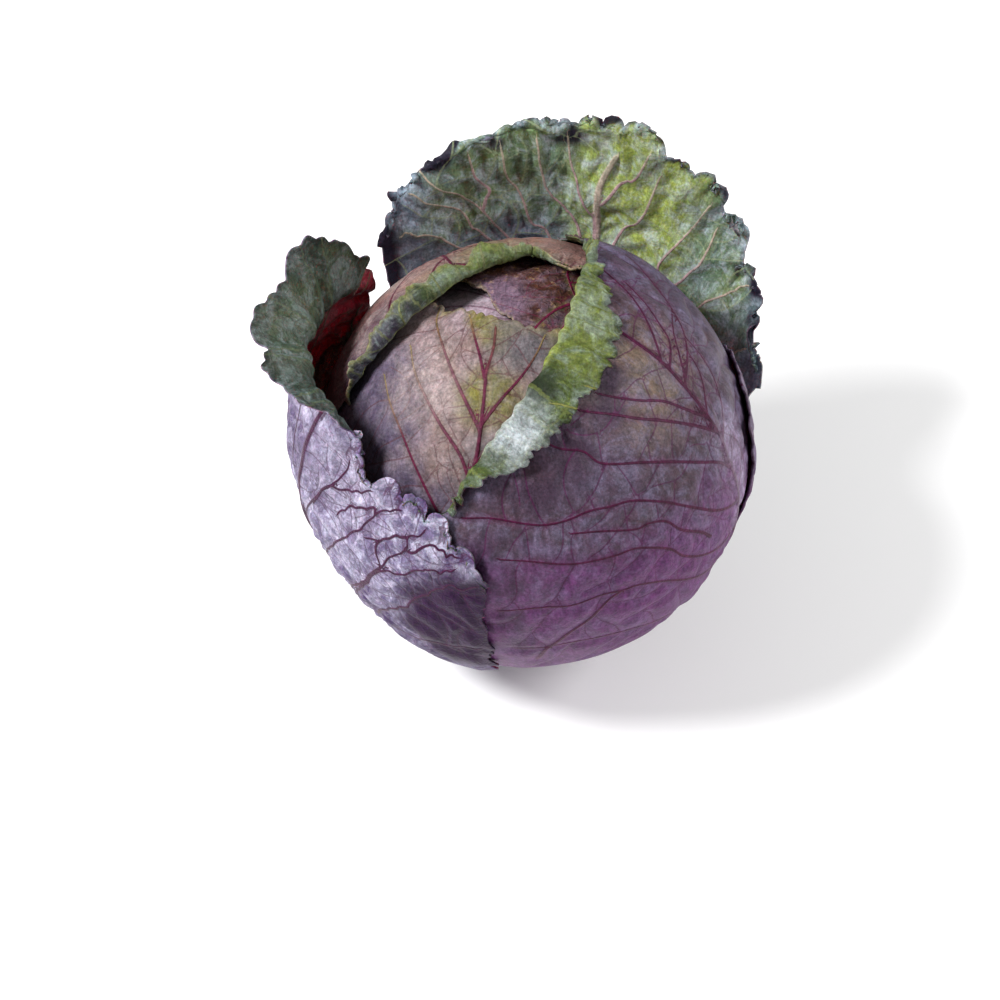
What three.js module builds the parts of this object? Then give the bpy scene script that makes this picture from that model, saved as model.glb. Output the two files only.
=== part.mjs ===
// A red cabbage head standing on its cut stem: a dense heart, four leaves wrapped close round it and three
// loose outer leaves. Millimetres, +Z up, origin at the centre of the flat cut face that the head rests on.
//
// Every leaf is one closed sheet. It is drawn on the round of the head by directions from the head's centre:
// azimuth in degrees about +Z, 0 towards -Y, 90 towards +X and 180 towards +Y, latitude in degrees above the
// head's middle, and distance from the centre in millimetres.
import * as THREE from "three";

// Driving dimensions
const HEAD_RADIUS = 81; // outside of the outermost wrapped leaf
const STEM_STANDS_PROUD = 5; // how far the cut stem reaches below the wrapped leaves
const CENTRE_Z = HEAD_RADIUS + STEM_STANDS_PROUD;
const LAYER_STEP = 2; // from one wrapped leaf to the next
const LEAF_THICKNESS = 0.9;
const LEAST_ROLL = 2; // a margin that isn't rolled still ends in a lip this wide
const LEAST_TURN = 0;
const STEM_RADIUS = 15.5;
const STEM_CLEARANCE = 0.7; // between the stem's side and the foot of each leaf
const TOP_FLATTENING = 0.03; // the crown is this share lower than a ball
const SIDE_SWELLING = 0.006; // broad swellings round the head, as a share of its radius
const TOP_SWELLING = 0.005; // and from its foot to its crown

const layerRadius = (layersIn) => HEAD_RADIUS - layersIn * LAYER_STEP;
const HEART_RADIUS = layerRadius(4) - 1.6;

const radians = THREE.MathUtils.degToRad;
const mix = THREE.MathUtils.lerp;

// The unit direction from the head's centre at an azimuth and a latitude.
function direction(azimuth, latitude) {
  const a = radians(azimuth);
  const l = radians(latitude);
  return new THREE.Vector3(Math.cos(l) * Math.sin(a), -Math.cos(l) * Math.cos(a), Math.sin(l));
}

// The head isn't a ball: it is lower at the crown, with broad, shallow swellings that every layer shares.
function headForm(d) {
  const crown = 1 - TOP_FLATTENING * Math.max(0, d.z) ** 4;
  const round = SIDE_SWELLING * Math.sin(3 * d.x + 1) * Math.cos(2.5 * d.y);
  const upward = TOP_SWELLING * Math.sin(4 * d.z + 2 * d.x);
  return crown + round + upward;
}

// A smooth curve through rows [x, value, value, ...] with rising x, read at x.
function smoothRow(rows, x) {
  const last = rows.length - 1;
  if (x <= rows[0][0]) return rows[0].slice(1);
  if (x >= rows[last][0]) return rows[last].slice(1);
  let i = 0;
  while (rows[i + 1][0] < x) i++;
  const [a, b] = [rows[i], rows[i + 1]];
  const before = rows[Math.max(i - 1, 0)];
  const after = rows[Math.min(i + 2, last)];
  const span = b[0] - a[0];
  const f = (x - a[0]) / span;
  return a.slice(1).map((_, k) => {
    const slopeA = ((b[k + 1] - before[k + 1]) / (b[0] - before[0])) * span;
    const slopeB = ((after[k + 1] - a[k + 1]) / (after[0] - a[0])) * span;
    return (
      (2 * f ** 3 - 3 * f ** 2 + 1) * a[k + 1] +
      (f ** 3 - 2 * f ** 2 + f) * slopeA +
      (3 * f ** 2 - 2 * f ** 3) * b[k + 1] +
      (f ** 3 - f ** 2) * slopeB
    );
  });
}

// A leaf's margin as rows [share of its length, x, y, z, distance, roll width, roll turn]: its direction is a
// vector, so that a leaf may reach over the crown.
function marginRows(leaf) {
  const points = leaf.margin.map(([azimuth, latitude, distance, width = LEAST_ROLL, turn = LEAST_TURN]) => ({
    d: direction(azimuth, latitude),
    distance,
    width,
    turn,
  }));
  const lengths = [0];
  for (let i = 1; i < points.length; i++) {
    const a = points[i - 1].d.clone().multiplyScalar(points[i - 1].distance);
    const b = points[i].d.clone().multiplyScalar(points[i].distance);
    lengths.push(lengths[i - 1] + a.distanceTo(b));
  }
  const total = lengths[lengths.length - 1];
  return points.map(({ d, distance, width, turn }, i) => {
    return [lengths[i] / total, d.x, d.y, d.z, distance, width, turn];
  });
}

// The foot of a leaf lies against the stem, at this latitude.
function footLatitude(distance) {
  return -THREE.MathUtils.radToDeg(Math.acos((STEM_RADIUS + STEM_CLEARANCE) / distance));
}

// The blade without its rolled margin: u runs along the margin and t from the stem, 0, to the margin, 1. The
// columns at u = 0 and u = 1 are the leaf's two sides, widest at the waist, half-way up.
function bladePoint(leaf, rows, u, t) {
  const [mx, my, mz, marginDistance] = smoothRow(rows, u);
  const margin = new THREE.Vector3(mx, my, mz).normalize();
  const low = footLatitude(leaf.foot.distance);
  const foot = direction(mix(leaf.foot.from, leaf.foot.to, u), low);
  const halfWay = low + THREE.MathUtils.radToDeg(foot.angleTo(margin)) / 2;
  const waist = direction(mix(leaf.waist.from, leaf.waist.to, u), halfWay);
  const d = new THREE.Vector3()
    .addScaledVector(foot, 2 * (t - 0.5) * (t - 1))
    .addScaledVector(waist, -4 * t * (t - 1))
    .addScaledVector(margin, 2 * t * (t - 0.5))
    .normalize();
  const stand = leaf.standOff * (1 - (1 - t) ** 4);
  const flare = (marginDistance - leaf.foot.distance - leaf.standOff) * t ** leaf.flarePower;
  const wave = leaf.wave.height * t ** 6 * Math.sin(2 * Math.PI * leaf.wave.count * u + leaf.wave.phase);
  return d.multiplyScalar((leaf.foot.distance + stand + flare) * headForm(d) + wave);
}

// The rows of cells in a roll are closest together in its bend, by this power of their share of the roll.
const ROLL_ROW_POWER = 1.6;

// Places next to a point of the margin, as shares of the way from the stem and along the margin, which show
// how the leaf runs there.
const JUST_INSIDE = 0.985;
const BESIDE = 0.004;

// A row of the roll: past the edge of the blade the margin turns outwards and lies back over the leaf.
function rollPoint(leaf, rows, u, row) {
  const edge = bladePoint(leaf, rows, u, 1);
  const [width, turn] = smoothRow(rows, u).slice(4);
  const inside = bladePoint(leaf, rows, u, JUST_INSIDE);
  const onwards = edge.clone().sub(inside).normalize();
  const sideways = bladePoint(leaf, rows, Math.min(u + BESIDE, 1), 1)
    .sub(bladePoint(leaf, rows, Math.max(u - BESIDE, 0), 1))
    .normalize();
  onwards.addScaledVector(sideways, -onwards.dot(sideways)).normalize();
  const outwards = new THREE.Vector3().crossVectors(sideways, onwards);
  if (outwards.dot(edge) < 0) outwards.negate();
  const share = (row / leaf.cells.roll) ** ROLL_ROW_POWER;
  const along = Math.max(width, LEAST_ROLL) * share;
  const turned = Math.min(along / leaf.roll.bend, radians(Math.max(turn, 0)));
  const straight = Math.max(0, along - turned * leaf.roll.bend);
  const ruffle = leaf.roll.ruffle * share ** 2 * Math.sin(2 * Math.PI * leaf.roll.ruffles * u);
  const ahead = leaf.roll.bend * Math.sin(turned) + straight * Math.cos(turned);
  const off = leaf.roll.bend * (1 - Math.cos(turned)) + straight * Math.sin(turned) + ruffle;
  return edge.addScaledVector(onwards, ahead).addScaledVector(outwards, off);
}

// A closed sheet between an outer grid of points and the same grid pushed in by the leaf's thickness. Both
// faces are split into triangles alike, so that they never cross. The rib is raised from the outer face, by
// the height given for each point.
function sheetGeometry(grid, thickness, ribHeights) {
  const across = grid.length;
  const down = grid[0].length;
  const outer = grid.flat();
  const at = (i, j) => i * down + j;
  const count = outer.length;
  const index = [];
  for (let i = 0; i < across - 1; i++)
    for (let j = 0; j < down - 1; j++) {
      index.push(at(i, j), at(i + 1, j), at(i + 1, j + 1));
      index.push(at(i, j), at(i + 1, j + 1), at(i, j + 1));
    }
  const face = new THREE.BufferGeometry().setFromPoints(outer);
  face.setIndex([...index]);
  face.computeVertexNormals();
  const normals = face.getAttribute("normal");
  const normal = (k) => new THREE.Vector3().fromBufferAttribute(normals, k);
  const moved = (p, k, distance) => p.clone().addScaledVector(normal(k), distance);
  const inner = outer.map((p, k) => moved(p, k, -thickness));
  const raised = outer.map((p, k) => moved(p, k, ribHeights[k]));
  for (let k = index.length - 3; k >= 0; k -= 3)
    index.push(count + index[k], count + index[k + 2], count + index[k + 1]);
  const rim = [];
  for (let i = 0; i < across - 1; i++) rim.push(at(i, 0));
  for (let j = 0; j < down - 1; j++) rim.push(at(across - 1, j));
  for (let i = across - 1; i > 0; i--) rim.push(at(i, down - 1));
  for (let j = down - 1; j > 0; j--) rim.push(at(0, j));
  rim.forEach((a, k) => {
    const b = rim[(k + 1) % rim.length];
    index.push(a, count + b, b, a, count + a, count + b);
  });
  const geometry = new THREE.BufferGeometry().setFromPoints([...raised, ...inner]);
  geometry.setIndex(index);
  return geometry;
}

const head = new THREE.Group();
head.name = "cabbage_head";
head.position.z = CENTRE_Z;

function addPiece(name, geometry, colour, roughness = 0.6) {
  geometry.computeVertexNormals();
  const material = new THREE.MeshStandardMaterial({ color: colour, roughness, metalness: 0 });
  const mesh = new THREE.Mesh(geometry, material);
  mesh.name = name;
  head.add(mesh);
}

const CALM = { height: 0, count: 0, phase: 0 };

// Shares of the margin's length at which the leaf's columns stand: evenly, and closer together at the rib.
function columnsOf(leaf) {
  const even = Array.from({ length: leaf.cells.across + 1 }, (_, i) => i / leaf.cells.across);
  if (!leaf.rib) return even;
  const { at, halfWidth } = leaf.rib;
  const beside = even.filter((u) => Math.abs(u - at) > 1.5 * halfWidth);
  return [...beside, at - halfWidth, at, at + halfWidth].sort((a, b) => a - b);
}

// The rib is thickest at the stem and dies out just before the margin.
function ribHeight(leaf, u, t) {
  if (!leaf.rib || Math.abs(u - leaf.rib.at) >= 0.5 * leaf.rib.halfWidth) return 0;
  return leaf.rib.height * Math.min(1, 8 * t) * Math.max(0, 1 - t ** 2);
}

function addLeaf(leaf) {
  const rows = marginRows(leaf);
  const grid = [];
  const ribHeights = [];
  for (const u of columnsOf(leaf)) {
    const column = [];
    for (let j = 0; j <= leaf.cells.down; j++) {
      const t = j / leaf.cells.down;
      column.push(bladePoint(leaf, rows, u, t));
      ribHeights.push(ribHeight(leaf, u, t));
    }
    for (let row = 1; row <= leaf.cells.roll; row++) {
      column.push(rollPoint(leaf, rows, u, row));
      ribHeights.push(0);
    }
    grid.push(column);
  }
  addPiece(leaf.name, sheetGeometry(grid, LEAF_THICKNESS, ribHeights), leaf.colour);
}

// The margins below go round each leaf from its left foot to its right foot, seen from outside, as rows
// [azimuth, latitude, distance, width of the roll, degrees that it turns].

// Half of the crown leaf lies under its neighbours: only its tip shows, reaching over the crown from behind.
addLeaf({
  name: "crown_leaf",
  colour: 0x6b4a4c,
  foot: { from: 120, to: 200, distance: layerRadius(3) },
  waist: { from: 96, to: 214 },
  margin: [
    [88, 25, layerRadius(3)],
    [80, 50, layerRadius(3)],
    [62, 68, layerRadius(3)],
    [20, 76, layerRadius(3)],
    [-30, 82, layerRadius(3)],
    [-77, 84, layerRadius(3)],
    [-107, 80, layerRadius(3)],
    [-121, 77, layerRadius(3)],
    [-131, 73, layerRadius(3)],
    [-134, 65, layerRadius(3)],
    [-137, 45, layerRadius(3)],
  ],
  standOff: 0,
  flarePower: 4,
  wave: CALM,
  cells: { across: 20, down: 13, roll: 0 },
});

// The front leaf fills the opening between the two rolled margins.
addLeaf({
  name: "front_leaf",
  colour: 0x8d7166,
  foot: { from: -62, to: 22, distance: layerRadius(2) },
  waist: { from: -100, to: 52 },
  margin: [
    [-114, 46, layerRadius(2)],
    [-108, 62, layerRadius(2)],
    [-101, 67, layerRadius(2)],
    [-97, 74, layerRadius(2)],
    [-80, 80, layerRadius(2)],
    [-45, 84, layerRadius(2)],
    [10, 84, layerRadius(2)],
    [46, 81, layerRadius(2)],
    [62, 72, layerRadius(2)],
  ],
  standOff: 0,
  rib: { at: 0.45, halfWidth: 0.012, height: 0.9 },
  flarePower: 4,
  wave: CALM,
  cells: { across: 24, down: 12, roll: 0 },
});

// The back leaf ends short of the crown, in a broad margin rolled outwards.
addLeaf({
  name: "back_rolled_leaf",
  colour: 0x82655c,
  foot: { from: -194, to: -110, distance: layerRadius(1) },
  waist: { from: -226, to: -86 },
  margin: [
    [-229, 56, layerRadius(1) - 0.5],
    [-216, 66, layerRadius(1), 2, 4],
    [-199, 67, layerRadius(1) + 0.8, 4, 40],
    [-179, 66, layerRadius(1) + 1.2, 7, 110],
    [-157, 68, layerRadius(1) + 1.5, 10, 165],
    [-136, 67, layerRadius(1) + 2, 13, 170],
    [-112, 64, layerRadius(1) + 3, 13, 170],
    [-97, 57, layerRadius(1) + 3, 11, 165],
    [-88, 49, layerRadius(1) + 2.6, 9, 150],
    [-83.5, 41, layerRadius(1) + 2.5, 6, 60],
    [-81, 30, layerRadius(1) + 1, 3, 8],
  ],
  standOff: 0,
  rib: { at: 0.5, halfWidth: 0.012, height: 1.2 },
  flarePower: 5,
  roll: { bend: 2.6, ruffle: 0.8, ruffles: 7 },
  wave: CALM,
  cells: { across: 26, down: 11, roll: 4 },
});

// The biggest wrapped leaf comes round from the right. Its left margin is rolled outwards in a long band.
addLeaf({
  name: "right_rolled_leaf",
  colour: 0x75617a,
  foot: { from: 20, to: 118, distance: layerRadius(0) },
  waist: { from: -44, to: 172 },
  margin: [
    [-25, 30, layerRadius(0), 3, 10],
    [-21, 38, layerRadius(0), 8, 110],
    [-17, 45.7, layerRadius(0), 14, 165],
    [-12.8, 50.8, layerRadius(0), 18, 176],
    [-6, 58.8, layerRadius(0), 20.5, 180],
    [4.7, 66.5, layerRadius(0), 22, 184],
    [27, 74.7, layerRadius(0), 24, 184],
    [78, 78.9, layerRadius(0), 22, 184],
    [119.5, 74.8, layerRadius(0) + 0.5, 14, 180],
    [141, 65, layerRadius(0) + 1.5, 7, 150],
    [152, 58, layerRadius(0) + 3, 3, 40],
    [164, 44, layerRadius(0) + 1],
    [171, 25, layerRadius(0)],
  ],
  standOff: 0,
  rib: { at: 0.5, halfWidth: 0.01, height: 1.2 },
  flarePower: 8,
  roll: { bend: 1.7, ruffle: 0.9, ruffles: 11 },
  wave: CALM,
  cells: { across: 34, down: 13, roll: 6 },
});

// The left outer leaf stands off the head as an upright wall, and its top is bent outwards in a flap.
addLeaf({
  name: "left_outer_leaf",
  colour: 0x7b7387,
  foot: { from: -118, to: -48, distance: HEAD_RADIUS + 2 },
  waist: { from: -142, to: -9 },
  margin: [
    [-130, 22, HEAD_RADIUS + 5, 3, 20],
    [-120, 31, HEAD_RADIUS + 9.5, 14, 30],
    [-110, 33.5, HEAD_RADIUS + 13, 27, 36],
    [-98, 35, HEAD_RADIUS + 16.5, 28, 58],
    [-86, 35, HEAD_RADIUS + 18, 26, 82],
    [-73, 35, HEAD_RADIUS + 17, 22, 90],
    [-64, 34, HEAD_RADIUS + 13, 13, 76],
    [-57, 31, HEAD_RADIUS + 7, 4, 30],
    [-48, 28, HEAD_RADIUS + 4.4],
    [-38, 28.5, HEAD_RADIUS + 3.6],
    [-28, 26.5, HEAD_RADIUS + 3.6],
    [-18.5, 20.5, HEAD_RADIUS + 3.6],
    [-11.5, 13, HEAD_RADIUS + 3.6],
  ],
  standOff: 1,
  rib: { at: 0.4, halfWidth: 0.012, height: 1.6 },
  flarePower: 3,
  roll: { bend: 7, ruffle: 1.6, ruffles: 9 },
  wave: { height: 0.5, count: 5, phase: 0 },
  cells: { across: 30, down: 11, roll: 4 },
});

// A short torn leaf lies low on the right.
addLeaf({
  name: "right_outer_leaf",
  colour: 0x6a4f72,
  foot: { from: 80, to: 112, distance: HEAD_RADIUS + 1.8 },
  waist: { from: 76, to: 131 },
  margin: [
    [80, 4, HEAD_RADIUS + 3.2],
    [88, 17, HEAD_RADIUS + 3.6],
    [105, 21, HEAD_RADIUS + 3.4],
    [121, 8, HEAD_RADIUS + 3],
  ],
  standOff: 0.8,
  rib: { at: 0.5, halfWidth: 0.03, height: 1.2 },
  flarePower: 3,
  wave: CALM,
  cells: { across: 14, down: 9, roll: 0 },
});

// The back outer leaf stands away from the head and fans open behind it.
addLeaf({
  name: "back_outer_leaf",
  colour: 0x6f7f55,
  foot: { from: 136, to: 190, distance: HEAD_RADIUS + 2 },
  waist: { from: 112, to: 218 },
  margin: [
    [114, -5, HEAD_RADIUS + 16],
    [121, 5, HEAD_RADIUS + 20],
    [127, 13, HEAD_RADIUS + 27],
    [133, 19, HEAD_RADIUS + 33],
    [140, 27, HEAD_RADIUS + 40],
    [148, 34, HEAD_RADIUS + 42],
    [156, 38.2, HEAD_RADIUS + 45],
    [164, 38.2, HEAD_RADIUS + 44],
    [172, 38.4, HEAD_RADIUS + 43, 2, 20],
    [181, 38.2, HEAD_RADIUS + 41, 4, 110],
    [190, 38, HEAD_RADIUS + 38, 7, 150],
    [198, 37.2, HEAD_RADIUS + 35, 8, 150],
    [207, 33.2, HEAD_RADIUS + 31, 6, 150],
    [212, 26, HEAD_RADIUS + 26, 3, 80],
    [216.5, 18, HEAD_RADIUS + 20],
  ],
  standOff: 4,
  rib: { at: 0.46, halfWidth: 0.012, height: 1.8 },
  flarePower: 8,
  roll: { bend: 1.6, ruffle: 0.6, ruffles: 12 },
  wave: { height: 1.6, count: 6, phase: 1 },
  cells: { across: 34, down: 13, roll: 3 },
});

// The heart is the dense mass of inner leaves, solid here, and its outside is the innermost leaf that shows.
const heart = new THREE.SphereGeometry(HEART_RADIUS, 28, 16);
heart.rotateX(Math.PI / 2);
const heartPoints = heart.getAttribute("position");
for (let i = 0; i < heartPoints.count; i++) {
  const point = new THREE.Vector3().fromBufferAttribute(heartPoints, i);
  point.multiplyScalar(headForm(point.clone().normalize()));
  heartPoints.setXYZ(i, point.x, point.y, point.z);
}
addPiece("heart", heart, 0x6f6076);

// The cut stem stops just under the heart and carries the whole head on its flat face.
const HEART_SWELLING = 1.012; // the most that a swelling adds to the heart's radius
const HEART_CLEARANCE = 0.4;
const STEM_TOP = CENTRE_Z - HEART_RADIUS * HEART_SWELLING - HEART_CLEARANCE;
const STEM_TAPER = 0.95; // the cut face is this share as wide as the hidden top
const stem = new THREE.CylinderGeometry(STEM_RADIUS, STEM_RADIUS * STEM_TAPER, STEM_TOP, 32);
stem.rotateX(Math.PI / 2);
stem.translate(0, 0, STEM_TOP / 2 - CENTRE_Z);
addPiece("stem", stem, 0xb9ab86, 0.8);

const part = new THREE.Group();
part.add(head);
export default part;
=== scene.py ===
import bpy
import numpy as np
from mathutils import Matrix, Vector
from mathutils.kdtree import KDTree


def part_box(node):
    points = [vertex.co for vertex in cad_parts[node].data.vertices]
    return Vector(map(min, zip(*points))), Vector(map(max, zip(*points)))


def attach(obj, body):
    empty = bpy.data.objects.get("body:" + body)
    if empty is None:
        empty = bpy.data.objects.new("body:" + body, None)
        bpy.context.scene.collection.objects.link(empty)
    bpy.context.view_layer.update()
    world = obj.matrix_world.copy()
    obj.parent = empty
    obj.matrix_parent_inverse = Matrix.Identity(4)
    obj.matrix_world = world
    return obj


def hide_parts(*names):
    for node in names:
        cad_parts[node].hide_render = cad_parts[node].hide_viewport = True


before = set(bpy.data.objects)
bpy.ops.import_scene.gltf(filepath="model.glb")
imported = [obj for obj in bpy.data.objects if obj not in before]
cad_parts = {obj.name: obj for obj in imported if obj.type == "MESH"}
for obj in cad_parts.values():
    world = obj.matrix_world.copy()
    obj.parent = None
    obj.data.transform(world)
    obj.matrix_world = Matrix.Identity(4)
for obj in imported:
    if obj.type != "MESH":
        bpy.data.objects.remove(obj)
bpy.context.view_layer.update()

# The cut stem
# The stalk that the head grew on, sawn through just under the leaves: a ring of woody strands round pale
# pith, dried brown where it was cut. It carries the head on its flat face.
MM = 0.001
HEAD_RADIUS = 81.0
STEM_STANDS_PROUD = 5.0
CENTRE = np.array([0.0, 0.0, HEAD_RADIUS + STEM_STANDS_PROUD])
STEM_RADIUS = 15.5
STEM_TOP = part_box("stem")[1].z / MM
STEM_GROOVES = 9
GROOVE_DEPTH = 0.25
STEM_STRANDS = 23
STRAND_DEPTH = 0.1
PITH_GRAIN = 2.5
PITH_ENDS = 0.62
WOOD_STARTS = 0.8


def colour(hex_code):
    """An sRGB hex colour as linear red, green, blue and alpha."""
    parts = [int(hex_code[i : i + 2], 16) / 255 for i in (1, 3, 5)]
    return [p / 12.92 if p <= 0.04045 else ((p + 0.055) / 1.055) ** 2.4 for p in parts] + [1.0]


def add_node(tree, kind, settings=None):
    """Adds a node, sets its properties and sockets, and links in other nodes: a socket, or a first output."""
    node = tree.nodes.new(kind)
    for key, value in (settings or {}).items():
        if isinstance(value, bpy.types.Node):
            value = value.outputs[0]
        if isinstance(value, bpy.types.NodeSocket):
            tree.links.new(value, node.inputs[key])
        elif isinstance(key, str) and hasattr(node, key):
            setattr(node, key, value)
        else:
            node.inputs[key].default_value = value
    return node


def new_material(name):
    """A material with an empty node tree but for its output and a Principled shader."""
    material = bpy.data.materials.new(name)
    material.use_nodes = True
    tree = material.node_tree
    tree.nodes.clear()
    shader = add_node(tree, "ShaderNodeBsdfPrincipled")
    add_node(tree, "ShaderNodeOutputMaterial", {"Surface": shader.outputs["BSDF"]})
    return material, tree, shader


def add_piece(name, points, faces, material, node, slot, masks=None):
    """A smooth mesh from points in millimetres, for one CAD node. Masks are numbers kept at each point."""
    mesh = bpy.data.meshes.new(name)
    mesh.from_pydata((points * MM).tolist(), [], faces)
    mesh.polygons.foreach_set("use_smooth", [True] * len(mesh.polygons))
    for mask, values in (masks or {}).items():
        mesh.attributes.new(mask, "FLOAT", "POINT").data.foreach_set("value", values.astype(np.float32))
    mesh.materials.append(material)
    mesh.update()
    piece = bpy.data.objects.new(name, mesh)
    bpy.context.scene.collection.objects.link(piece)
    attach(piece, "root")
    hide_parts(node)


def ring_faces(rings, count):
    """Faces between rings of points, and fans to the two points that follow them and close both ends."""
    faces = [
        (i * count + j, i * count + (j + 1) % count, (i + 1) * count + (j + 1) % count, (i + 1) * count + j)
        for i in range(rings - 1)
        for j in range(count)
    ]
    last, end = (rings - 1) * count, rings * count
    faces += [(end, (j + 1) % count, j) for j in range(count)]
    return faces + [(end + 1, last + j, last + (j + 1) % count) for j in range(count)]


def stem_mesh():
    """Rings from the middle of the cut face, out and up the grooved side, to the middle of the hidden top."""
    around = np.radians(np.arange(0, 360, 3.0))
    face = [(share * (STEM_RADIUS - 1), 0.0) for share in (0.15, 0.3, 0.45, 0.6, 0.75, 0.88, 1)]
    side = [(STEM_RADIUS - 0.4, 0.25), (STEM_RADIUS, 0.9)]
    side += [(STEM_RADIUS - 0.2, z) for z in np.linspace(2, STEM_TOP - 1, 8)]
    top = [(share * STEM_RADIUS, STEM_TOP) for share in (0.97, 0.6, 0.2)]
    points = []
    for radius, z in face + side + top:
        groove = GROOVE_DEPTH * np.cos(STEM_GROOVES * around) * min(1, z / 2)
        groove = groove + STRAND_DEPTH * np.cos(STEM_STRANDS * around + z)
        r = radius - np.abs(groove) * (radius > 10)
        points += list(np.stack([r * np.cos(around), r * np.sin(around), np.full(len(around), z)], axis=1))
    rings = len(points) // len(around)
    points += [np.array([0.0, 0.0, 0.0]), np.array([0.0, 0.0, STEM_TOP])]
    return np.array(points), ring_faces(rings, len(around))


def dried_stalk():
    """Cut cabbage stalk, dried: pale pith inside a darker woody ring, with a dull, slightly rough skin."""
    material, tree, shader = new_material("dried_stalk")
    place = add_node(tree, "ShaderNodeTexCoord").outputs["Object"]
    settings = {"Scale": 1 / (PITH_GRAIN * MM), "Detail": 6.0, "Vector": place}
    grain = add_node(tree, "ShaderNodeTexNoise", settings)
    flat = add_node(tree, "ShaderNodeVectorMath", {"operation": "MULTIPLY", 0: place, 1: (1, 1, 0)})
    radius = add_node(tree, "ShaderNodeVectorMath", {"operation": "LENGTH", 0: flat}).outputs["Value"]
    settings = {"From Min": PITH_ENDS * STEM_RADIUS * MM, "From Max": WOOD_STARTS * STEM_RADIUS * MM}
    ring = add_node(tree, "ShaderNodeMapRange", settings | {"Value": radius})
    settings = {"data_type": "RGBA", 0: grain, 6: colour("#CFC49A"), 7: colour("#A8935F")}
    pith = add_node(tree, "ShaderNodeMix", settings).outputs[2]
    settings = {"data_type": "RGBA", 0: ring, 6: pith, 7: colour("#8A7A58")}
    wood = add_node(tree, "ShaderNodeMix", settings).outputs[2]
    tree.links.new(wood, shader.inputs["Base Color"])
    shader.inputs["Roughness"].default_value = 0.8
    bump = add_node(tree, "ShaderNodeBump", {"Strength": 0.4, "Distance": 0.3 * MM, "Height": grain})
    tree.links.new(bump.outputs[0], shader.inputs["Normal"])
    return material


add_piece("cut_stem", *stem_mesh(), dried_stalk(), "stem", "stem")

# The heart
# The dense ball of inner leaves, one solid here, wrapped tight on the stem. Its outside is the innermost
# leaf that can be seen, which shows as a small patch beside the crown.
LAYER_STEP = 2.0
TOP_FLATTENING = 0.03
LEAF_THICKNESS = 0.8
DENT_SIZE = 26
DENT_DEPTH = 0.35
DENT_SEED = 3


def layer_radius(layers_in):
    return HEAD_RADIUS - layers_in * LAYER_STEP


HEART_RADIUS = layer_radius(4) - 1.6


def unit(v):
    return v / np.maximum(np.linalg.norm(v, axis=-1, keepdims=True), 1e-9)


def direction(azimuth, latitude):
    """From the head's centre: azimuth about +Z, 0 towards -Y and 90 towards +X, and latitude, in degrees."""
    a, b = np.broadcast_arrays(np.radians(azimuth), np.radians(latitude))
    return np.stack([np.cos(b) * np.sin(a), -np.cos(b) * np.cos(a), np.sin(b)], axis=-1)


def latitude_of(points):
    return np.degrees(np.arcsin(unit(points)[..., 2]))


def lengths_along(line):
    """How far along a line of points each of them is."""
    return np.concatenate([[0], np.cumsum(np.linalg.norm(np.diff(line, axis=0), axis=1))])


def head_form(d):
    """How far the head departs from a ball: a lower crown and broad swellings that every layer shares."""
    crown = 1 - TOP_FLATTENING * np.maximum(0, d[..., 2]) ** 4
    swelling = 0.006 * np.sin(3 * d[..., 0] + 1) * np.cos(2.5 * d[..., 1])
    return crown + swelling + 0.005 * np.sin(4 * d[..., 2] + 2 * d[..., 0])


def buckles(points, size, seed):
    """Soft dents and swellings, from -1 to 1, about this many millimetres across."""
    random = np.random.default_rng(seed)
    waves = unit(random.normal(size=(9, 3))) * (2 * np.pi / (size * random.uniform(0.8, 1.9, (9, 1))))
    phases = random.uniform(0, 2 * np.pi, 9)
    return np.sin(points @ waves.T + phases).sum(axis=-1) / 4.5


def smooth_row(rows, x):
    """A smooth curve through rows [x, value, value, ...] with rising x, read at x."""
    last = len(rows) - 1
    k = np.clip(np.searchsorted(rows[:, 0], x, side="right") - 1, 0, last - 1)
    a, b = rows[k], rows[k + 1]
    before, after = rows[np.maximum(k - 1, 0)], rows[np.minimum(k + 2, last)]
    span = b[:, :1] - a[:, :1]
    f = np.clip((x[:, None] - a[:, :1]) / span, 0, 1)
    slope_a = (b - before) / (b[:, :1] - before[:, :1]) * span
    slope_b = (after - a) / (after[:, :1] - a[:, :1]) * span
    from_a = (2 * f**3 - 3 * f**2 + 1) * a + (f**3 - 2 * f**2 + f) * slope_a
    return (from_a + (3 * f**2 - 2 * f**3) * b + (f**3 - f**2) * slope_b)[:, 1:]


def grid_normals(points):
    """The outward direction at each point of a grid, from the faces round it."""
    a, b = points[:-1, :-1], points[1:, :-1]
    c, d = points[1:, 1:], points[:-1, 1:]
    face = np.cross(c - a, d - b)
    total = np.zeros_like(points)
    for i in (0, 1):
        for j in (0, 1):
            total[i : i + face.shape[0], j : j + face.shape[1]] += face
    return unit(total)


# Veins are worked out as lines on a leaf, in millimetres, each with its width and how strongly it shows.
VEIN_STEP = 0.8
VEIN_GAP = 0.9
CLEAR_OF_PARENT = 1.6
SMALL_VEIN_LENGTH = 26
SMALL_VEIN_WIDTHS = (0.75, 0.45)
MASK_REACH = 2.5


class LeafSurface:
    """A leaf's outer face: the nearest point on it, the way out there, and whether that is at the edge."""

    def __init__(self, points, down):
        self.grid = points.shape[:2]
        self.down = down
        self.points = points.reshape(-1, 3)
        self.normals = grid_normals(points).reshape(-1, 3)
        edge = np.ones(self.grid, bool)
        edge[1:-1, 1:-1] = False
        self.edge = edge.reshape(-1)
        self.tree = KDTree(len(self.points))
        for i, p in enumerate(self.points):
            self.tree.insert(p, i)
        self.tree.balance()

    def at(self, p):
        _, index, _ = self.tree.find(p)
        return Vector(self.points[index]), Vector(self.normals[index]), self.edge[index]


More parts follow.
